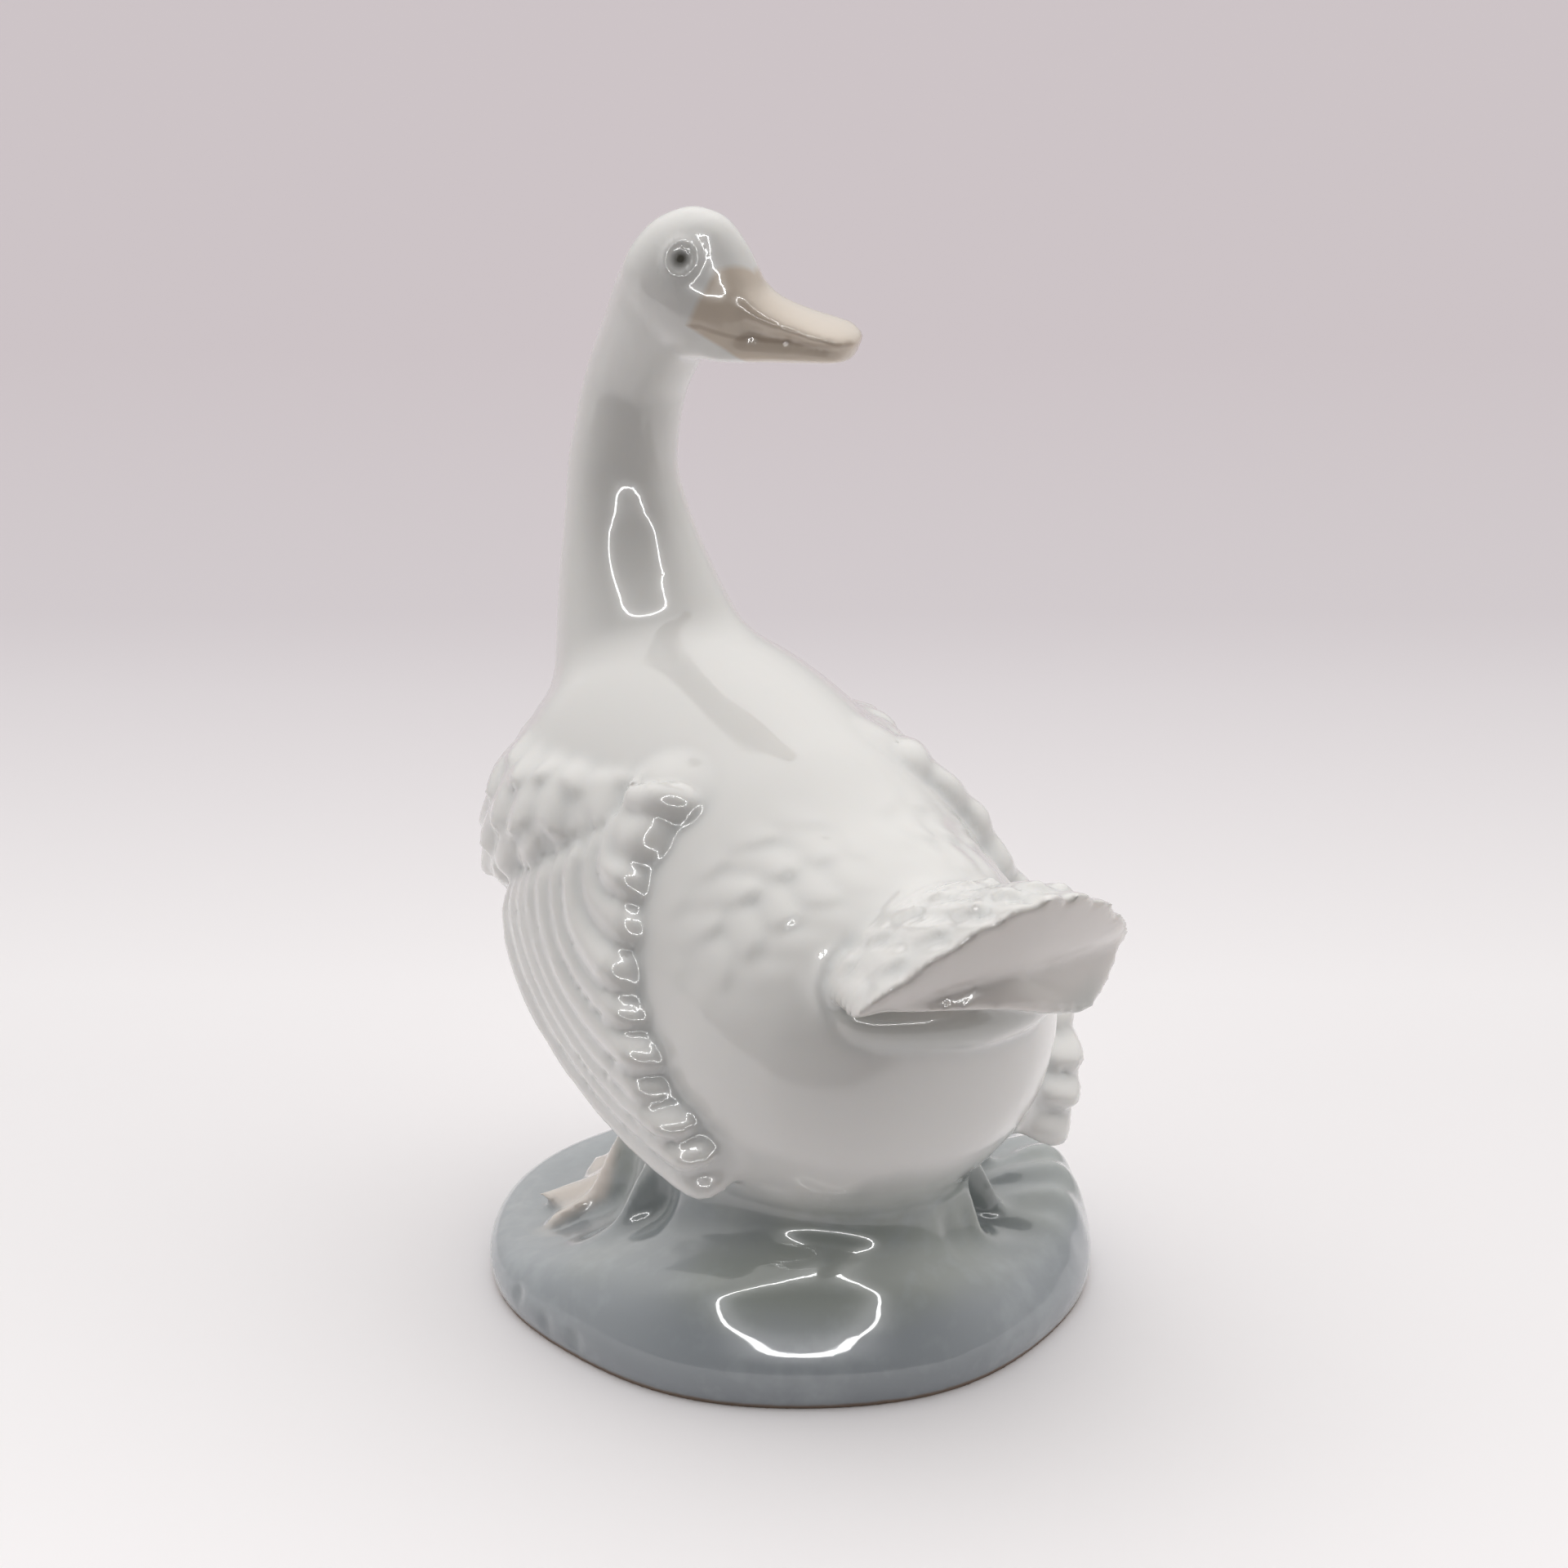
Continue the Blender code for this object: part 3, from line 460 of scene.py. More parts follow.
def shoulder(side):
    """Pad of the folded arm with its coverts: a down the wing and b back along it."""
    a = np.linspace(0, 1, 150)[:, None]
    b = np.linspace(0, 1, 230)[None, :]
    drop = 22.5 - 16.5 * b**1.3
    y = -37 + 29 * b + (6 - 2 * b) * a
    z = SHOULDER_TOP - drop * a
    pad = hump(a, 0.6, 0.62) * hump(b, 0.42, 0.6)
    row, column = a * drop / COVERT_LENGTH + 0.3, b * 29 / COVERT_WIDTH
    relief = scales(row + 0.28 * np.sin(1.9 * column), column + 0.25 * np.sin(1.7 * row + 1))
    lift = 0.2 + ARM_THICKNESS * pad + COVERT_RELIEF * relief * (1 - 0.45 * b) * (0.45 + 0.55 * a)
    edge = np.where(a < 0.4, hump(a, 0.4, 0.4), 1.0)
    tips = rounded(1 - np.abs(2 * (column % 1) - 1))
    edge = edge * rounded((1 - a - 0.1 * (1 - tips)) / 0.14) * rounded(b / 0.1) * rounded((1 - b) / 0.1)
    return side_patch(y, z, (lift + 0.8) * edge - 0.8, side)


for side in (1, -1):
    clay.append(wing_fan(side))
    clay.append(shoulder(side))


# The tail: a thick cocked wedge whose blunt arched end is deeper on the duck's right. Rows of feathers lie on
# its top, and a roll of small ones closes the corner between the blunt end and the rump.
TAIL_WIDTH = 34.4
TAIL_ASIDE = -0.8
TAIL_REACH = 12.0
TAIL_TOP = 62.4
TAIL_ROOT = 23.5
TAIL_COCK = 8.0
TAIL_BLUNT = 14.2
TAIL_FEATHERS = 8
TAIL_RELIEF = 2.2
ROLL = [  # heights from the tail's top
    (12.5, 30, -15.5),
    (10, 33.2, -16.8),
    (3, 35.8, -17.3),
    (-4, 36, -17.8),
    (-11, 34, -17.3),
    (-15, 29.5, -14.8),
]


def tail_levels(s, out):
    """(x, y, upper level, lower level) of the tail: s runs -1 to 1 across the fan, out 0 to 1 to its end."""
    x = TAIL_WIDTH / 2 * s * (0.6 + 0.4 * out**0.8) + TAIL_ASIDE * out
    end = BODY_FRONT + BODY_LENGTH + TAIL_REACH
    y = TAIL_ROOT + (end - TAIL_ROOT) * out - 6.5 * s * s * out
    upper = TAIL_TOP - TAIL_COCK * np.clip(1 - out, 0, 1) ** 1.3 - 0.03 * (x + 2.5) ** 2
    depth = [
        (-1.0, 0.35),
        (-0.85, 0.74),
        (-0.56, 1.0),
        (-0.28, 0.97),
        (0.0, 0.86),
        (0.28, 0.72),
        (0.6, 0.5),
        (0.9, 0.2),
        (1.0, 0.12),
    ]
    tip = TAIL_TOP - 0.03 * (TAIL_WIDTH / 2 * s + TAIL_ASIDE + 2.5) ** 2
    lower = tip - TAIL_BLUNT * between(depth, s)[..., 0] - 5 * (1 - out)
    return x, y, upper, np.minimum(lower, upper - 1.5)


def tail_form():
    """Boxy rings from root to end. The scales' relief lifts only the upper side, and their tips notch the
    end, which closes over a rim drawn without them."""
    out = np.linspace(0, 1, 90)[:, None]
    turn = np.linspace(0, 2 * math.pi, 260, endpoint=False)[None, :]
    s = np.cos(turn) + 0 * out
    x, y, upper, lower = tail_levels(s, out + 0 * s)
    share = np.sign(np.sin(turn)) * np.abs(np.sin(turn)) ** 0.5
    column = (s + 1) / 2 * TAIL_FEATHERS
    over = np.clip(share, 0, 1)
    level = (upper + lower) / 2 + share * (upper - lower) / 2
    z = level + TAIL_RELIEF * over * scales(2.55 * out + 0.4, column)
    tips = rounded(1 - np.abs(2 * (column % 1) - 1)) * over
    y = y + out**6 * (0.7 * tips - 1.5 * (1 - share))
    rings = np.stack([x, y, z], -1)
    plain = np.stack([x, y - 0.7 * out**6 * tips, level], -1)[-1]
    middle = plain.mean(0)
    shrink = np.array([0.93, 0.82, 0.65, 0.4, 0.15])[:, None, None]
    cap = middle + (plain - middle) * shrink + np.array([0, 0.7, 0]) * (1 - shrink**2)
    return closed_skin(np.vstack([rings, cap]))


def tail_roll():
    """Flattened roll along a curve under the blunt end, thinning out at both of its own ends."""
    line = rounded_path(np.array(ROLL) + [0, 0, TAIL_TOP], 90)
    t = np.linspace(0, 1, 90)
    ends = np.maximum(rounded(t / 0.6) * rounded((1 - t) / 0.3), 0.02)
    return carried(line, np.tile([0.0, 0.8, -0.6], (90, 1)), 3.3 * ends, 2.6 * ends, 3.0 * ends, 40)


clay.append(tail_form())
clay.append(tail_roll())


# The feet: each is a web over three toes, draped on the mound from the ankle towards its front rim, with a
# short leg that comes down out of the belly's folds.
ANKLE = np.array([13.6, -12.5])
TOES = [(26.5, -11.0), (24.0, -18.5), (13.5, -22.5)]
FOOT_THICKNESS = 1.3
FOOT_SUNK = 2.0
LEG = [(11.0, -2, 26), (12.4, -6.5, 19), (13.0, -9.5, 13), (13.4, -11.5, 8)]


def mound_height(x, y):
    """Height of the mound over (x, y): the highest of its rings that still reaches round the point."""
    t = np.linspace(0.22, 0.89, 160)
    wide, long, middle, height = mound_ring(t).T
    inside = np.hypot(x[..., None] / wide, (y[..., None] - middle) / long) <= 1
    return np.where(inside.any(-1), height[np.argmax(inside * np.arange(1, 161), axis=-1)], height[0])


def smoothed(values):
    """Mean of each number and the five on either side of it."""
    return np.convolve(np.pad(values, 5, mode="edge"), np.ones(11) / 11, mode="valid")


def foot_forms(side):
    """The web is a flat oval ring drawn out from the ankle, ridged by a cosine over the three toes."""
    out = np.linspace(0.0, 1.0, 50)[:, None]
    turn = np.linspace(0, 2 * math.pi, 140, endpoint=False)[None, :]
    s = np.cos(turn) + 0 * out
    toes = np.array(TOES)
    tips = np.stack([np.interp(s[0], (-1, 0, 1), toes[:, i]) for i in (0, 1)])
    root = ANKLE[:, None] - 2.6 * np.stack([0.8 * s[0], 0.6 * s[0]])
    web = 0.9 + 0.1 * np.cos(2 * math.pi * s[0])
    x = root[0] + (tips[0] - root[0]) * out * web
    y = root[1] + (tips[1] - root[1]) * out * web
    level = np.apply_along_axis(smoothed, 0, mound_height(x, y) - FOOT_SUNK)
    ridge = 0.5 * np.cos(2 * math.pi * s) * (0.4 + 0.6 * out)
    lift = np.where(np.sin(turn) > 0, FOOT_THICKNESS * (1 - 0.25 * out) + ridge, -1.5)
    rim = np.minimum(1, np.abs(np.sin(turn)) * 2.2)
    web_skin = closed_skin(np.stack([x * side, y, level + rim * lift], -1))
    leg = rounded_path(LEG, 40) * [side, 1, 1]
    size = between([(0, 6.0), (0.5, 3.5), (0.8, 3.0), (1, 4.2)], np.linspace(0, 1, 40))[:, 0]
    return [web_skin, carried(leg, np.tile([0.0, 1, 0], (40, 1)), size, size, size, 40)]


clay += foot_forms(1) + foot_forms(-1)


# The casting: all the clay forms fused into one skin. Slip fills the hollow seams, glaze rounds the rest, and
# the underside is cut flat. The eyes' rims, the rump's feathers and the thumb marks are pressed in last.
SKIN_STEP = 0.61
SOFT_SEAMS = [((0.0, -28.0, 66.0), 23.0), ((0.0, 23.0, 60.0), 14.0)]  # middle and reach
WAIST_SEAM = (23.0, 8.0)  # height and reach
EYE = (0.55, 2.75)  # ahead of and above the head's middle
EYE_RIM = 1.75
# Marks, swellings and the nape's flat: middle, reach, and depth or rise
THUMB_MARKS = [((34.8, -2.6, 3.6), 1.7, 0.45), ((34.2, 3.4, 2.6), 1.8, 0.4), ((33.0, 8.6, 2.6), 2.0, 0.4)]
SWELLINGS = [((16.0, -1.5, 63.0), 7.0, 1.5), ((-16.0, -1.5, 63.0), 7.0, 1.2)]
BROW_FLAT = (4.5, 5.0, 2.0, 6.0, 0.7)  # ahead, to either cheek, up, reach and depth
NAPE_FLAT = ((4.6, -30.0, 75.5), 16.0, 1.3)
RUMP_RELIEF = 1.0
RUMP_FEATHER = (6.0, 5.6)  # length and width
MOUND_FLAT = (10.8, 7.0, 0.7)  # height, reach and depth of the flatter band of the mound's back


def mesh_of(name, points, faces):
    """Mesh in metres from points in millimetres and faces that all have the same number of corners."""
    mesh = bpy.data.meshes.new(name)
    mesh.vertices.add(len(points))
    mesh.vertices.foreach_set("co", (points * 0.001).astype(np.float32).ravel())
    mesh.loops.add(faces.size)
    mesh.loops.foreach_set("vertex_index", faces.astype(np.int32).ravel())
    mesh.polygons.add(len(faces))
    mesh.polygons.foreach_set("loop_start", np.arange(0, faces.size, faces.shape[1], dtype=np.int32))
    mesh.update(calc_edges=True)
    mesh.validate()
    return mesh


def fused(forms, step):
    """Points and quads of one skin round all the forms, each first turned so that its volume is positive."""
    points, faces, first = [], [], 0
    for p, f in forms:
        inside_out = np.linalg.det((p - p.mean(0))[f]).sum() < 0
        faces.append((f[:, ::-1] if inside_out else f) + first)
        points.append(p)
        first += len(p)
    lump = bpy.data.objects.new("lump", mesh_of("lump", np.vstack(points), np.vstack(faces)))
    bpy.context.scene.collection.objects.link(lump)
    remesh = lump.modifiers.new("fuse", "REMESH")
    remesh.mode = "VOXEL"
    remesh.voxel_size = step * 0.001
    mesh = bpy.data.meshes.new_from_object(lump.evaluated_get(bpy.context.evaluated_depsgraph_get()))
    bpy.data.objects.remove(lump, do_unlink=True)
    co = np.empty(3 * len(mesh.vertices))
    mesh.vertices.foreach_get("co", co)
    quads = np.empty(4 * len(mesh.polygons), dtype=np.int32)
    mesh.loops.foreach_get("vertex_index", quads)
    return co.reshape(-1, 3) * 1000, quads.reshape(-1, 4)


def outer_shell(points, quads):
    """The largest connected skin. The lowest point number is passed on across the faces until nothing
    changes."""
    shell = np.arange(len(points))
    while True:
        after = shell.copy()
        np.minimum.at(after, quads, shell[quads].min(axis=1)[:, None])
        after = after[after]
        if np.array_equal(after, shell):
            break
        shell = after
    names, sizes = np.unique(shell, return_counts=True)
    keep = shell == names[np.argmax(sizes)]
    number = np.cumsum(keep) - 1
    return points[keep], number[quads[keep[quads[:, 0]]]]


def neighbour_mean(points, quads):
    """Mean of each point's neighbours along the quads' edges."""
    edge = np.vstack([quads[:, [k, (k + 1) % 4]] for k in range(4)])
    count = np.bincount(edge[:, 0], minlength=len(points))[:, None]
    total = [np.bincount(edge[:, 0], points[edge[:, 1], i], len(points)) for i in range(3)]
    return np.stack(total, -1) / count


def point_normals(points, quads):
    """Unit normals at the points: the quads' own, summed by area."""
    across = np.cross(points[quads[:, 2]] - points[quads[:, 0]], points[quads[:, 3]] - points[quads[:, 1]])
    total = [sum(np.bincount(quads[:, k], across[:, i], len(points)) for k in range(4)) for i in range(3)]
    return unit(np.stack(total, -1))


def seam_softness(points):
    """0 to 1: how much slip gathers at a point, from the seams' places."""
    x, y, z = points.T
    round_waist = np.hypot(x / (WAIST_WIDTH / 2), (y - WAIST_BACK) / (WAIST_LENGTH / 2))
    soft = hump(z, *WAIST_SEAM) * np.clip((1.4 - round_waist) / 0.2, 0, 1)
    for middle, reach in SOFT_SEAMS:
        soft = np.maximum(soft, hump(np.linalg.norm(points - middle, axis=1), 0, reach))
    return soft


def softened(points, quads):
    """Hollow places on the seams rise to their neighbours. Then all is rounded a little, as by glaze."""
    soft = seam_softness(points)
    for _ in range(115):
        pull = neighbour_mean(points, quads) - points
        hollow = np.einsum("ij,ij->i", pull, point_normals(points, quads)) > 0
        points = points + pull * (soft * np.where(hollow, 0.6, 0.12))[:, None]
    for _ in range(3):
        points = points + 0.5 * (neighbour_mean(points, quads) - points)
    return points


def rump_feathers(points, quads):
    """Rows of soft scales over the rump: a row grows with the length along the back, a column with the way
    round it."""
    arc = 22 * np.arctan2(np.abs(points[:, 0]), points[:, 2] - 42)
    row = (points[:, 1] + 0.25 * arc) / RUMP_FEATHER[0] + 8
    column = arc / RUMP_FEATHER[1] + 0.25 * np.sin(0.5 * points[:, 1]) + 8
    feathers = np.repeat(scales(row, column)[:, None], 3, axis=1)
    for _ in range(5):
        feathers = 0.5 * (feathers + neighbour_mean(feathers, quads))
    on_rump = hump(points[:, 1], 17.5, 12.0) * hump(arc, 17.0, 19.0) * np.clip((points[:, 2] - 38) / 6, 0, 1)
    return RUMP_RELIEF * (feathers[:, 0] - 0.4) * on_rump


def pressed(points, quads):
    """Eye rims round shallow sockets, thumb marks, swellings, flats and the rump's feathers, all as moves
    along the normals."""
    normal = point_normals(points, quads)
    from_head = points - HEAD_CENTRE
    ahead, cheek, up = from_head @ AHEAD, from_head @ CHEEK, from_head @ UP
    off = np.hypot(ahead - EYE[0], up - EYE[1])
    on_cheek = (np.abs(cheek) > 0.2 * HEAD_WIDTH) & (np.linalg.norm(from_head, axis=1) < HEAD_HEIGHT)
    rim = 0.3 * np.exp(-(((off - EYE_RIM) / 0.5) ** 2))
    press = on_cheek * (rim - 0.25 * hump(off, 0, 1.5) + 0.3 * hump(off, 0, 0.9))
    for middle, reach, depth in THUMB_MARKS:
        press = press - depth * hump(np.linalg.norm(points - middle, axis=1), 0, reach)
    for middle, reach, rise in SWELLINGS:
        press = press + rise * hump(np.linalg.norm(points - middle, axis=1), 0, reach)
    middle, reach, depth = NAPE_FLAT
    backwards = np.clip(normal @ np.array([0.5, 0.866, 0.0]), 0, 1) ** 2
    press = press - depth * backwards * hump(np.linalg.norm(points - middle, axis=1), 0, reach)
    brow_ahead, brow_aside, brow_up, reach, depth = BROW_FLAT
    for brow_side in (1, -1):
        brow = np.hypot(np.hypot(ahead - brow_ahead, up - brow_up), cheek - brow_aside * brow_side)
        press = press - depth * hump(brow, 0, reach)
    level, reach, depth = MOUND_FLAT
    from_back = angle_from(np.arctan2(points[:, 0], points[:, 1]), math.radians(30))
    press = press - depth * hump(points[:, 2], level, reach) * hump(from_back, 0, 1.5)
    return points + normal * (press + rump_feathers(points, quads))[:, None]


def cut_flat(points):
    """What hangs below the underside is brought up to it, and the air hole is pushed up into it."""
    points = points.copy()
    below = points[:, 2] < 0.02
    off = np.hypot(points[:, 0], points[:, 1] - VENT_BACK)
    depth = VENT_DEPTH * np.clip((VENT_DIAMETER / 2 + 0.25 - off) / 0.5, 0, 1)
    points[below, 2] = depth[below]
    return points


skin_points, skin_quads = outer_shell(*fused(clay, SKIN_STEP))
skin_points = cut_flat(pressed(softened(skin_points, skin_quads), skin_quads))
low_corner, high_corner = (1000 * np.array(corner) for corner in cad_box)
skin_points = np.clip(skin_points, low_corner + 0.002, high_corner - 0.002)
duck_mesh = mesh_of("glazed_duck", skin_points, skin_quads)
duck_mesh.polygons.foreach_set("use_smooth", np.ones(len(duck_mesh.polygons), dtype=bool))
duck = bpy.data.objects.new("glazed_duck", duck_mesh)
bpy.context.scene.collection.objects.link(duck)


# The glaze: white porcelain under a clear glaze. Underglaze tints are sprayed on the mound, the bill, the
# feet and the underside of the tail, the eyes are touched in by brush, and grey shade is painted into the
# hollows, the mound's folds and the roll under the tail's blunt end.
WHITE = (0.83, 0.82, 0.80)
HOLLOW_SHADE = (0.62, 0.64, 0.64)
BEIGE = (0.70, 0.60, 0.50)
MOUTH = (0.42, 0.32, 0.24)
PEACH = (0.76, 0.69, 0.63)
TAIL_PEACH = (0.80, 0.755, 0.72)
ROLL_SHADE_GREY = (0.55, 0.57, 0.55)
BLUE_GREY = (0.335, 0.365, 0.39)
GREEN_GREY = (0.345, 0.375, 0.35)
RIM_GREY = (0.28, 0.305, 0.33)
PALE_MOTTLE = (0.42, 0.455, 0.48)
FOLD_SHADE = (0.25, 0.28, 0.28)
SPECK = (0.25, 0.22, 0.18)
EYE_DARK = (0.075, 0.07, 0.055)
BARE_CLAY = (0.23, 0.17, 0.13)


def painted(name, values):
    """Stores one number a point on the duck, for the material to read."""
    layer = duck_mesh.attributes.new(name, "FLOAT", "POINT")
    layer.data.foreach_set("value", np.clip(values, 0, 1).astype(np.float32))


def spread(values, rounds):
    """Averages numbers over the skin, as a spray gun's edge does."""
    for _ in range(rounds):
        values = neighbour_mean(np.repeat(values[:, None], 3, axis=1), skin_quads)[:, 0]
    return values


def foot_tint(points):
    """1 on the web of either foot: between the outer toes, from the ankle out, and above the mound."""
    x, y, z = np.abs(points[:, 0]), points[:, 1], points[:, 2]
    from_ankle = np.stack([x, y], -1) - ANKLE
    first, last = np.array(TOES[0]) - ANKLE, np.array(TOES[2]) - ANKLE
    ahead = from_ankle @ unit(first + last)
    inside_first = (from_ankle[:, 0] * first[1] - from_ankle[:, 1] * first[0]) / np.linalg.norm(first)
    inside_last = (from_ankle[:, 1] * last[0] - from_ankle[:, 0] * last[1]) / np.linalg.norm(last)
    sides = np.clip((np.minimum(inside_first, inside_last) + 2.4) / 0.6, 0, 1)
    above = np.clip((z - mound_height(x, y) + 1.7) / 0.5, 0, 1)
    reach = np.clip((14.4 - np.hypot(from_ankle[:, 0], from_ankle[:, 1])) / 0.8, 0, 1)
    return sides * above * reach * np.clip((ahead + 2.5) / 2, 0, 1) * np.clip((17 - z) / 3, 0, 1)


def tail_tint(points, normal):
    """1 on the tail's underside and blunt edge."""
    x, y, z = points.T
    down = np.clip((normal[:, 1] - 1.1 * normal[:, 2] + 0.15) / 0.35, 0, 1)
    return down * np.clip((y - 31) / 2, 0, 1) * np.clip((z - 44.5) / 1.0, 0, 1)


def roll_shade_band(points, normal):
    """1 on the roll under the tail's blunt end, where grey shade is painted under the overhang."""
    x, y, z = points.T
    level = TAIL_TOP - 17.0 + 0.012 * x * x
    return hump(z, level, 3.6) ** 0.5 * np.clip((y - 30) / 2, 0, 1) * np.clip((15 - np.abs(x)) / 3, 0, 1)


skin_normals = point_normals(skin_points, skin_quads)
bend = np.einsum("ij,ij->i", neighbour_mean(skin_points, skin_quads) - skin_points, skin_normals)
# Painted shade: the hollow mask greys the concave places of the skin
painted("hollow", spread(np.clip(bend / 0.035, 0, 1), 3))
painted("foot", spread(foot_tint(skin_points), 2))
painted("tail_under", spread(tail_tint(skin_points, skin_normals), 2))
# Painted shade: grey on the roll under the tail's overhanging end
painted("roll_shade", spread(roll_shade_band(skin_points, skin_normals), 2))


class Shade:
    """One output of a shader node. Operators on it add Math nodes; `add` makes any other node."""

    def __init__(self, tree, socket):
        self.tree = tree
        self.socket = socket

    @classmethod
    def add(cls, tree, kind, settings=None, sockets=None, out=0):
        """Node of a type: its settings first, then the values or links of its sockets. Gives output `out`."""
        node = tree.nodes.new(kind)
        for name, value in (settings or {}).items():
            setattr(node, name, value)
        for name, value in (sockets or {}).items():
            if isinstance(value, Shade):
                tree.links.new(value.socket, node.inputs[name])
            elif isinstance(value, tuple) and len(value) == 3 and node.inputs[name].type == "RGBA":
                node.inputs[name].default_value = (*value, 1)
            else:
                node.inputs[name].default_value = value
        return cls(tree, node.outputs[out])

    def maths(self, operation, *values):
        """Math node over the values in order; one that clamps its result has the operation's name and a +."""
        settings = {"operation": operation.rstrip("+"), "use_clamp": operation.endswith("+")}
        return Shade.add(self.tree, "ShaderNodeMath", settings, dict(enumerate(values)))

    def __add__(self, other):
        return self.maths("ADD", self, other)

    def __sub__(self, other):
        return self.maths("SUBTRACT", self, other)

    def __rsub__(self, other):
        return self.maths("SUBTRACT", other, self)

    def __mul__(self, other):
        return self.maths("MULTIPLY", self, other)

    def __pow__(self, other):
        return self.maths("POWER", self, other)

    def __abs__(self):
        return self.maths("ABSOLUTE", self)

    __radd__ = __add__
    __rmul__ = __mul__

    def rise(self, low, high):
        """0 below `low`, 1 above `high`, straight between them; `low` may be the higher of the two."""
        return self.maths("MULTIPLY+", self - low, 1 / (high - low))

    def parts(self):
        """The three numbers of a vector."""
        first = Shade.add(self.tree, "ShaderNodeSeparateXYZ", None, {0: self})
        return [Shade(self.tree, output) for output in first.socket.node.outputs]

    def over(self, under, colour):
        """Colour laid over another by this mask."""
        sockets = {"Factor": self, 6: under, 7: colour}
        return Shade.add(self.tree, "ShaderNodeMix", {"data_type": "RGBA"}, sockets, out=2)

    def to_output(self, kind="ShaderNodeOutputMaterial"):
        """Joins a shader to the surface of a new output node."""
        output = self.tree.nodes.new(kind)
        self.tree.links.new(self.socket, output.inputs["Surface"])


def empty_tree(owner):
    """Node tree of a material or a world, with nothing in it yet."""
    owner.use_nodes = True
    owner.node_tree.nodes.clear()
    return owner.node_tree


def glaze_material():
    material = bpy.data.materials.new("porcelain_glaze")
    tree = empty_tree(material)
    place = Shade.add(tree, "ShaderNodeTexCoord", out=3)
    x, y, z = (part * 1000 for part in place.parts())

    def along(axis, origin):
        """Place along a direction from a point, in millimetres."""
        px, py, pz = (float(v) for v in origin)
        ax, ay, az = (float(v) for v in axis)
        return (x - px) * ax + (y - py) * ay + (z - pz) * az

    def noise(scale, detail=3.0, rough=0.5):
        """Fractal noise over the duck, about 0.2 to 0.8, its grain 1000 / scale millimetres."""
        sockets = {"Vector": place, "Scale": scale, "Detail": detail, "Roughness": rough}
        return Shade.add(tree, "ShaderNodeTexNoise", None, sockets)

    def attribute(name):
        return Shade.add(tree, "ShaderNodeAttribute", {"attribute_name": name}, out=2)

    slow, cloudy, fine = noise(28.0), noise(90.0, 4.0), noise(420.0, 2.0)

    # White body, with grey shade painted into the hollows
    hollow = attribute("hollow")
    colour = (hollow * 0.8).over(WHITE, HOLLOW_SHADE)

    # The mound's sprayed tint: green-grey under the belly, blue-grey over the pillow, darker at the rim
    level = z + (slow - 0.5) * 9 + (cloudy - 0.5) * 4
    sprayed = (level - abs(x).rise(17.0, 8.0) * 4.5).rise(22.5, 15.5)
    greenish = level.rise(8.0, 13.0) * (slow * 0.8 + cloudy * 0.5).rise(0.45, 0.72)
    tint = greenish.over(BLUE_GREY, GREEN_GREY)
    tint = (level.rise(4.5, 1.0) * 0.7).over(tint, RIM_GREY)
    tint = ((fine - 0.5) * 0.35 + (cloudy - 0.5) * 0.5).rise(0.0, 0.25).over(tint, PALE_MOTTLE)
    # Painted shade greys the mound's folds through the hollow mask
    tint = (hollow * 0.5).over(tint, FOLD_SHADE)
    colour = sprayed.over(colour, tint)

    # Feet and the underside of the tail: a breath of peach
    colour = attribute("foot").over(colour, PEACH)
    colour = (attribute("tail_under") * 0.75).over(colour, TAIL_PEACH)
    # Painted shade on the roll under the tail's overhanging end
    colour = (attribute("roll_shade") * 0.75).over(colour, ROLL_SHADE_GREY)

    # The bill, its edge on the face a curve that runs forward over the forehead
    ahead, cheek, up = (along(axis, HEAD_CENTRE) for axis in (AHEAD, CHEEK, UP))
    brow = ahead - up * 0.44 - 3.6 - abs(cheek).rise(4.6, 1.0) * 3.6 + (cloudy - 0.5) * 0.8
    chin = ahead + up * 1.2 + 4.3
    bill = brow.maths("MINIMUM", brow, chin).rise(-0.35, 0.45) * z.rise(95.0, 96.0)
    colour = bill.over(colour, BEIGE)
    mouth_level = up + 6.5 - ahead.rise(6.8, 2.8) * 1.6
    mouth = abs(mouth_level).rise(0.45, 0.12) * bill * abs(cheek).rise(1.0, 2.0)
    colour = (mouth * 0.55).over(colour, MOUTH)

    # The eyes: a soft dark touch of the brush in the socket of either cheek
    off = ((ahead - EYE[0]) * (ahead - EYE[0]) + (up - EYE[1]) * (up - EYE[1])) ** 0.5
    on_cheek = abs(cheek).rise(2.0, 3.0) * z.rise(95.0, 96.0)
    colour = ((off + (fine - 0.5) * 0.5).rise(1.25, 0.35) * on_cheek).over(colour, EYE_DARK)

    # Iron specks, a few
    speck = Shade.add(tree, "ShaderNodeTexVoronoi", None, {"Vector": place, "Scale": 85.0})
    specks = (speck * (noise(160.0, 1.0).rise(0.42, 0.36) * -9 + 10)).rise(0.022, 0.012)
    colour = (specks * 0.55).over(colour, SPECK)

    # The foot of the mound, wiped clean of glaze before firing
    bare = (z + (fine - 0.5) * 0.3).rise(0.75, 0.35)
    colour = bare.over(colour, BARE_CLAY)

    bump_height = (slow * 0.7 + cloudy * 0.12) * (sprayed * 1.2 + 1) + fine * 0.012
    sockets = {"Strength": 0.35, "Distance": 0.0008, "Height": bump_height}
    bump = Shade.add(tree, "ShaderNodeBump", None, sockets)
    sockets = {
        "Base Color": colour,
        "Roughness": bare * 0.6 + 0.22,
        "IOR": 1.5,
        "Specular IOR Level": 0.3,
        "Coat Weight": 1 - bare,
        "Coat Roughness": 0.035,
        "Coat IOR": 1.5,
        "Subsurface Weight": 0.12,
        "Subsurface Radius": (1.0, 0.8, 0.6),
        "Subsurface Scale": 0.0015,
        "Normal": bump,
    }
    Shade.add(tree, "ShaderNodeBsdfPrincipled", None, sockets).to_output()
    return material


duck_mesh.materials.append(glaze_material())
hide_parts("duck_figurine")
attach(duck, "root")


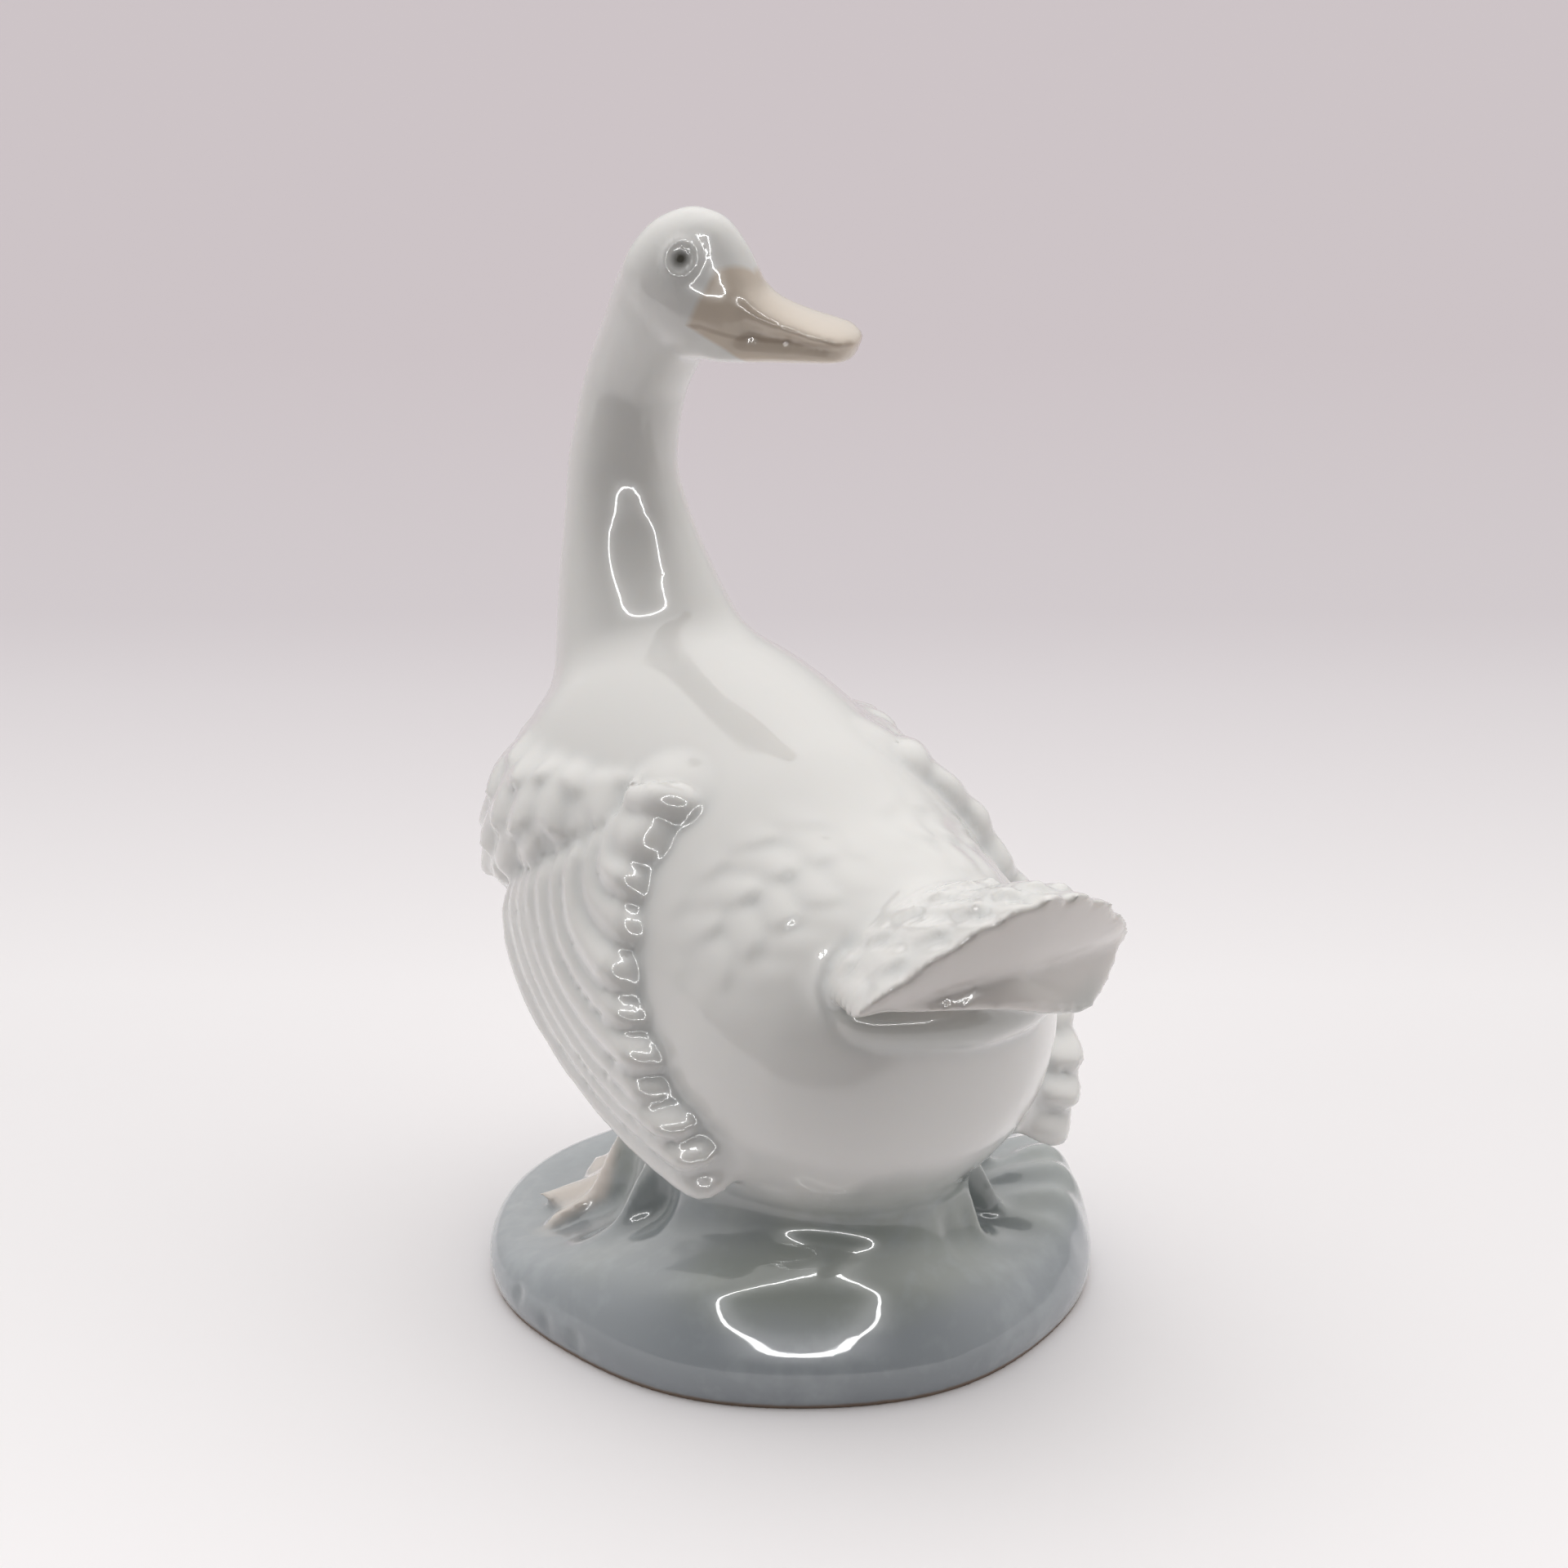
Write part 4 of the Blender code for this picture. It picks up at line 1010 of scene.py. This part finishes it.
# The camera: at the photograph's angle, behind the duck's left, looking a little down at it.
AZIMUTH = math.radians(150.0)
ELEVATION = math.radians(21.0)
DISTANCE = 0.450
AIM_HEIGHT = 0.060
PIXELS_A_MM = 10.87  # at the aim, in the 1920 pixel picture


def direction(elevation):
    """Unit vector at the camera's azimuth that leans up by an elevation."""
    level = math.cos(elevation)
    return np.array([math.sin(AZIMUTH) * level, -math.cos(AZIMUTH) * level, math.sin(elevation)])


back = direction(ELEVATION)
right = np.array([math.cos(AZIMUTH), math.sin(AZIMUTH), 0.0])
above = np.cross(back, right)
aim = np.array([0.0, 0.0, AIM_HEIGHT]) - right * 0.00074 + above * 0.00018
camera = bpy.data.objects.new("camera", bpy.data.cameras.new("camera"))
bpy.context.scene.collection.objects.link(camera)
turned = np.eye(4)
turned[:3, 0], turned[:3, 1], turned[:3, 2], turned[:3, 3] = right, above, back, aim + back * DISTANCE
camera.matrix_world = Matrix(turned.tolist())
camera.data.sensor_width = 36.0
camera.data.lens = 36.0 * PIXELS_A_MM * DISTANCE * 1000 / 1920
camera.data.clip_start = 0.01
bpy.context.scene.camera = camera


# The floor: pale paper with painted shade that greys it behind the duck, and a dark band painted before it,
# out of the picture, that darkens the glaze's reflections. The paper's painted shade changes along the line
# from the camera, in the bands of FLOOR_BANDS.
FLOOR_RADIUS = 4.0
NEAR_PALE = (0.97, 0.95, 0.965)
PALE = (0.88, 0.86, 0.875)
MID_PALE = (0.65, 0.612, 0.64)
FAR_PALE = (0.605, 0.55, 0.58)
DARK_REFLECTED_BAND = (0.20, 0.19, 0.19)
FLOOR_BANDS = [  # metres towards the camera where a shade begins and is reached
    (0.07, -0.05, PALE),
    (-0.08, -0.24, MID_PALE),
    (-0.2, -0.42, FAR_PALE),
    # Dark band painted towards the camera, there to darken the glaze's reflections
    (0.094, 0.115, DARK_REFLECTED_BAND),
]


def floor_disc():
    """Rings of a flat disc, closer together near the middle."""
    r = FLOOR_RADIUS * np.linspace(0.001, 1, 60)[:, None] ** 2
    turn = np.linspace(0, 2 * math.pi, 96, endpoint=False)
    points = np.stack([r * np.cos(turn), r * np.sin(turn), 0 * r * turn], -1).reshape(-1, 3) * 1000
    return mesh_of("floor", points, grid_faces(60, 96, True)[:, ::-1])


floor_mesh = floor_disc()
floor = bpy.data.objects.new("floor", floor_mesh)
bpy.context.scene.collection.objects.link(floor)
floor_paper = bpy.data.materials.new("floor_paper")
paper_tree = empty_tree(floor_paper)
floor_x, floor_y, _ = Shade.add(paper_tree, "ShaderNodeTexCoord", out=3).parts()
towards_camera = floor_x * math.sin(AZIMUTH) - floor_y * math.cos(AZIMUTH)
# Painted shade: the paper greys behind the duck, and a dark band lies towards the camera for the reflections
paper_colour = NEAR_PALE
for begins, reached, shade in FLOOR_BANDS:
    paper_colour = towards_camera.rise(begins, reached).over(paper_colour, shade)
paper_sockets = {"Base Color": paper_colour, "Roughness": 0.75, "IOR": 1.3}
Shade.add(paper_tree, "ShaderNodeBsdfPrincipled", None, paper_sockets).to_output()
floor_mesh.materials.append(floor_paper)


# The light: a white tent, brightest overhead and dark where the camera looks in. One slim bright oval round
# that opening draws the thin outlines in the glaze. It is seen only in reflections.
TENT_TOP = 1.74
TENT_SIDE = 0.55
LEFT_MORE = 0.05
TENT_WHITE = (1.0, 0.985, 0.97)
OPENING = 0.10
RING_ELEVATION = math.radians(43.0)
RING_DISTANCE = 0.80
RING_WIDTH = 0.98
RING_HEIGHT = 0.84
RING_THICKNESS = 0.020
RING_STRENGTH = 26.0
RING_STEPS = 160
TUBE_STEPS = 12
ring_axis = direction(RING_ELEVATION)
ring_up = np.cross(ring_axis, right)


def ring_points():
    """Round tube along the opening's oval: a point of the oval plus a small circle across it."""
    turn = np.linspace(0, 2 * math.pi, RING_STEPS, endpoint=False)[:, None, None]
    round_tube = np.linspace(0, 2 * math.pi, TUBE_STEPS, endpoint=False)[None, :, None]
    outward = np.cos(turn) * right + np.sin(turn) * ring_up
    oval = np.cos(turn) * right * RING_WIDTH / 2 + np.sin(turn) * ring_up * RING_HEIGHT / 2
    tube = RING_THICKNESS / 2 * (np.cos(round_tube) * outward + np.sin(round_tube) * ring_axis)
    return (aim + ring_axis * RING_DISTANCE + oval + tube).reshape(-1, 3) * 1000


ring_faces = grid_faces(RING_STEPS + 1, TUBE_STEPS, True) % (RING_STEPS * TUBE_STEPS)
ring_mesh = mesh_of("bright_ring", ring_points(), ring_faces)
ring_light = bpy.data.materials.new("ring_light")
Shade.add(empty_tree(ring_light), "ShaderNodeEmission", None, {"Strength": RING_STRENGTH}).to_output()
ring_mesh.materials.append(ring_light)
ring = bpy.data.objects.new("bright_ring", ring_mesh)
bpy.context.scene.collection.objects.link(ring)
ring.visible_camera = False
ring.visible_diffuse = False
ring.visible_shadow = False

world = bpy.data.worlds.new("light_tent")
world_tree = empty_tree(world)
towards = Shade.add(world_tree, "ShaderNodeTexCoord", out=0)


def facing(axis):
    """How far a direction of the world leans along an axis."""
    sockets = {0: towards, 1: tuple(float(v) for v in axis)}
    return Shade.add(world_tree, "ShaderNodeVectorMath", {"operation": "DOT_PRODUCT"}, sockets, out=1)


skyward = facing((0, 0, 1)).maths("MAXIMUM", facing((0, 0, 1)), 0.0)
sides = TENT_SIDE + facing(right) * (-LEFT_MORE * TENT_SIDE)
low_back = (math.sin(AZIMUTH), -math.cos(AZIMUTH), 0.05)
inside = facing(low_back).rise(0.0, 0.7)
strength = (sides * (1 - skyward) + skyward * TENT_TOP) * (1 - inside) + inside * OPENING
tent = Shade.add(world_tree, "ShaderNodeBackground", None, {"Color": TENT_WHITE, "Strength": strength})
tent.to_output("ShaderNodeOutputWorld")
bpy.context.scene.world = world
bpy.context.scene.view_settings.view_transform = "Standard"
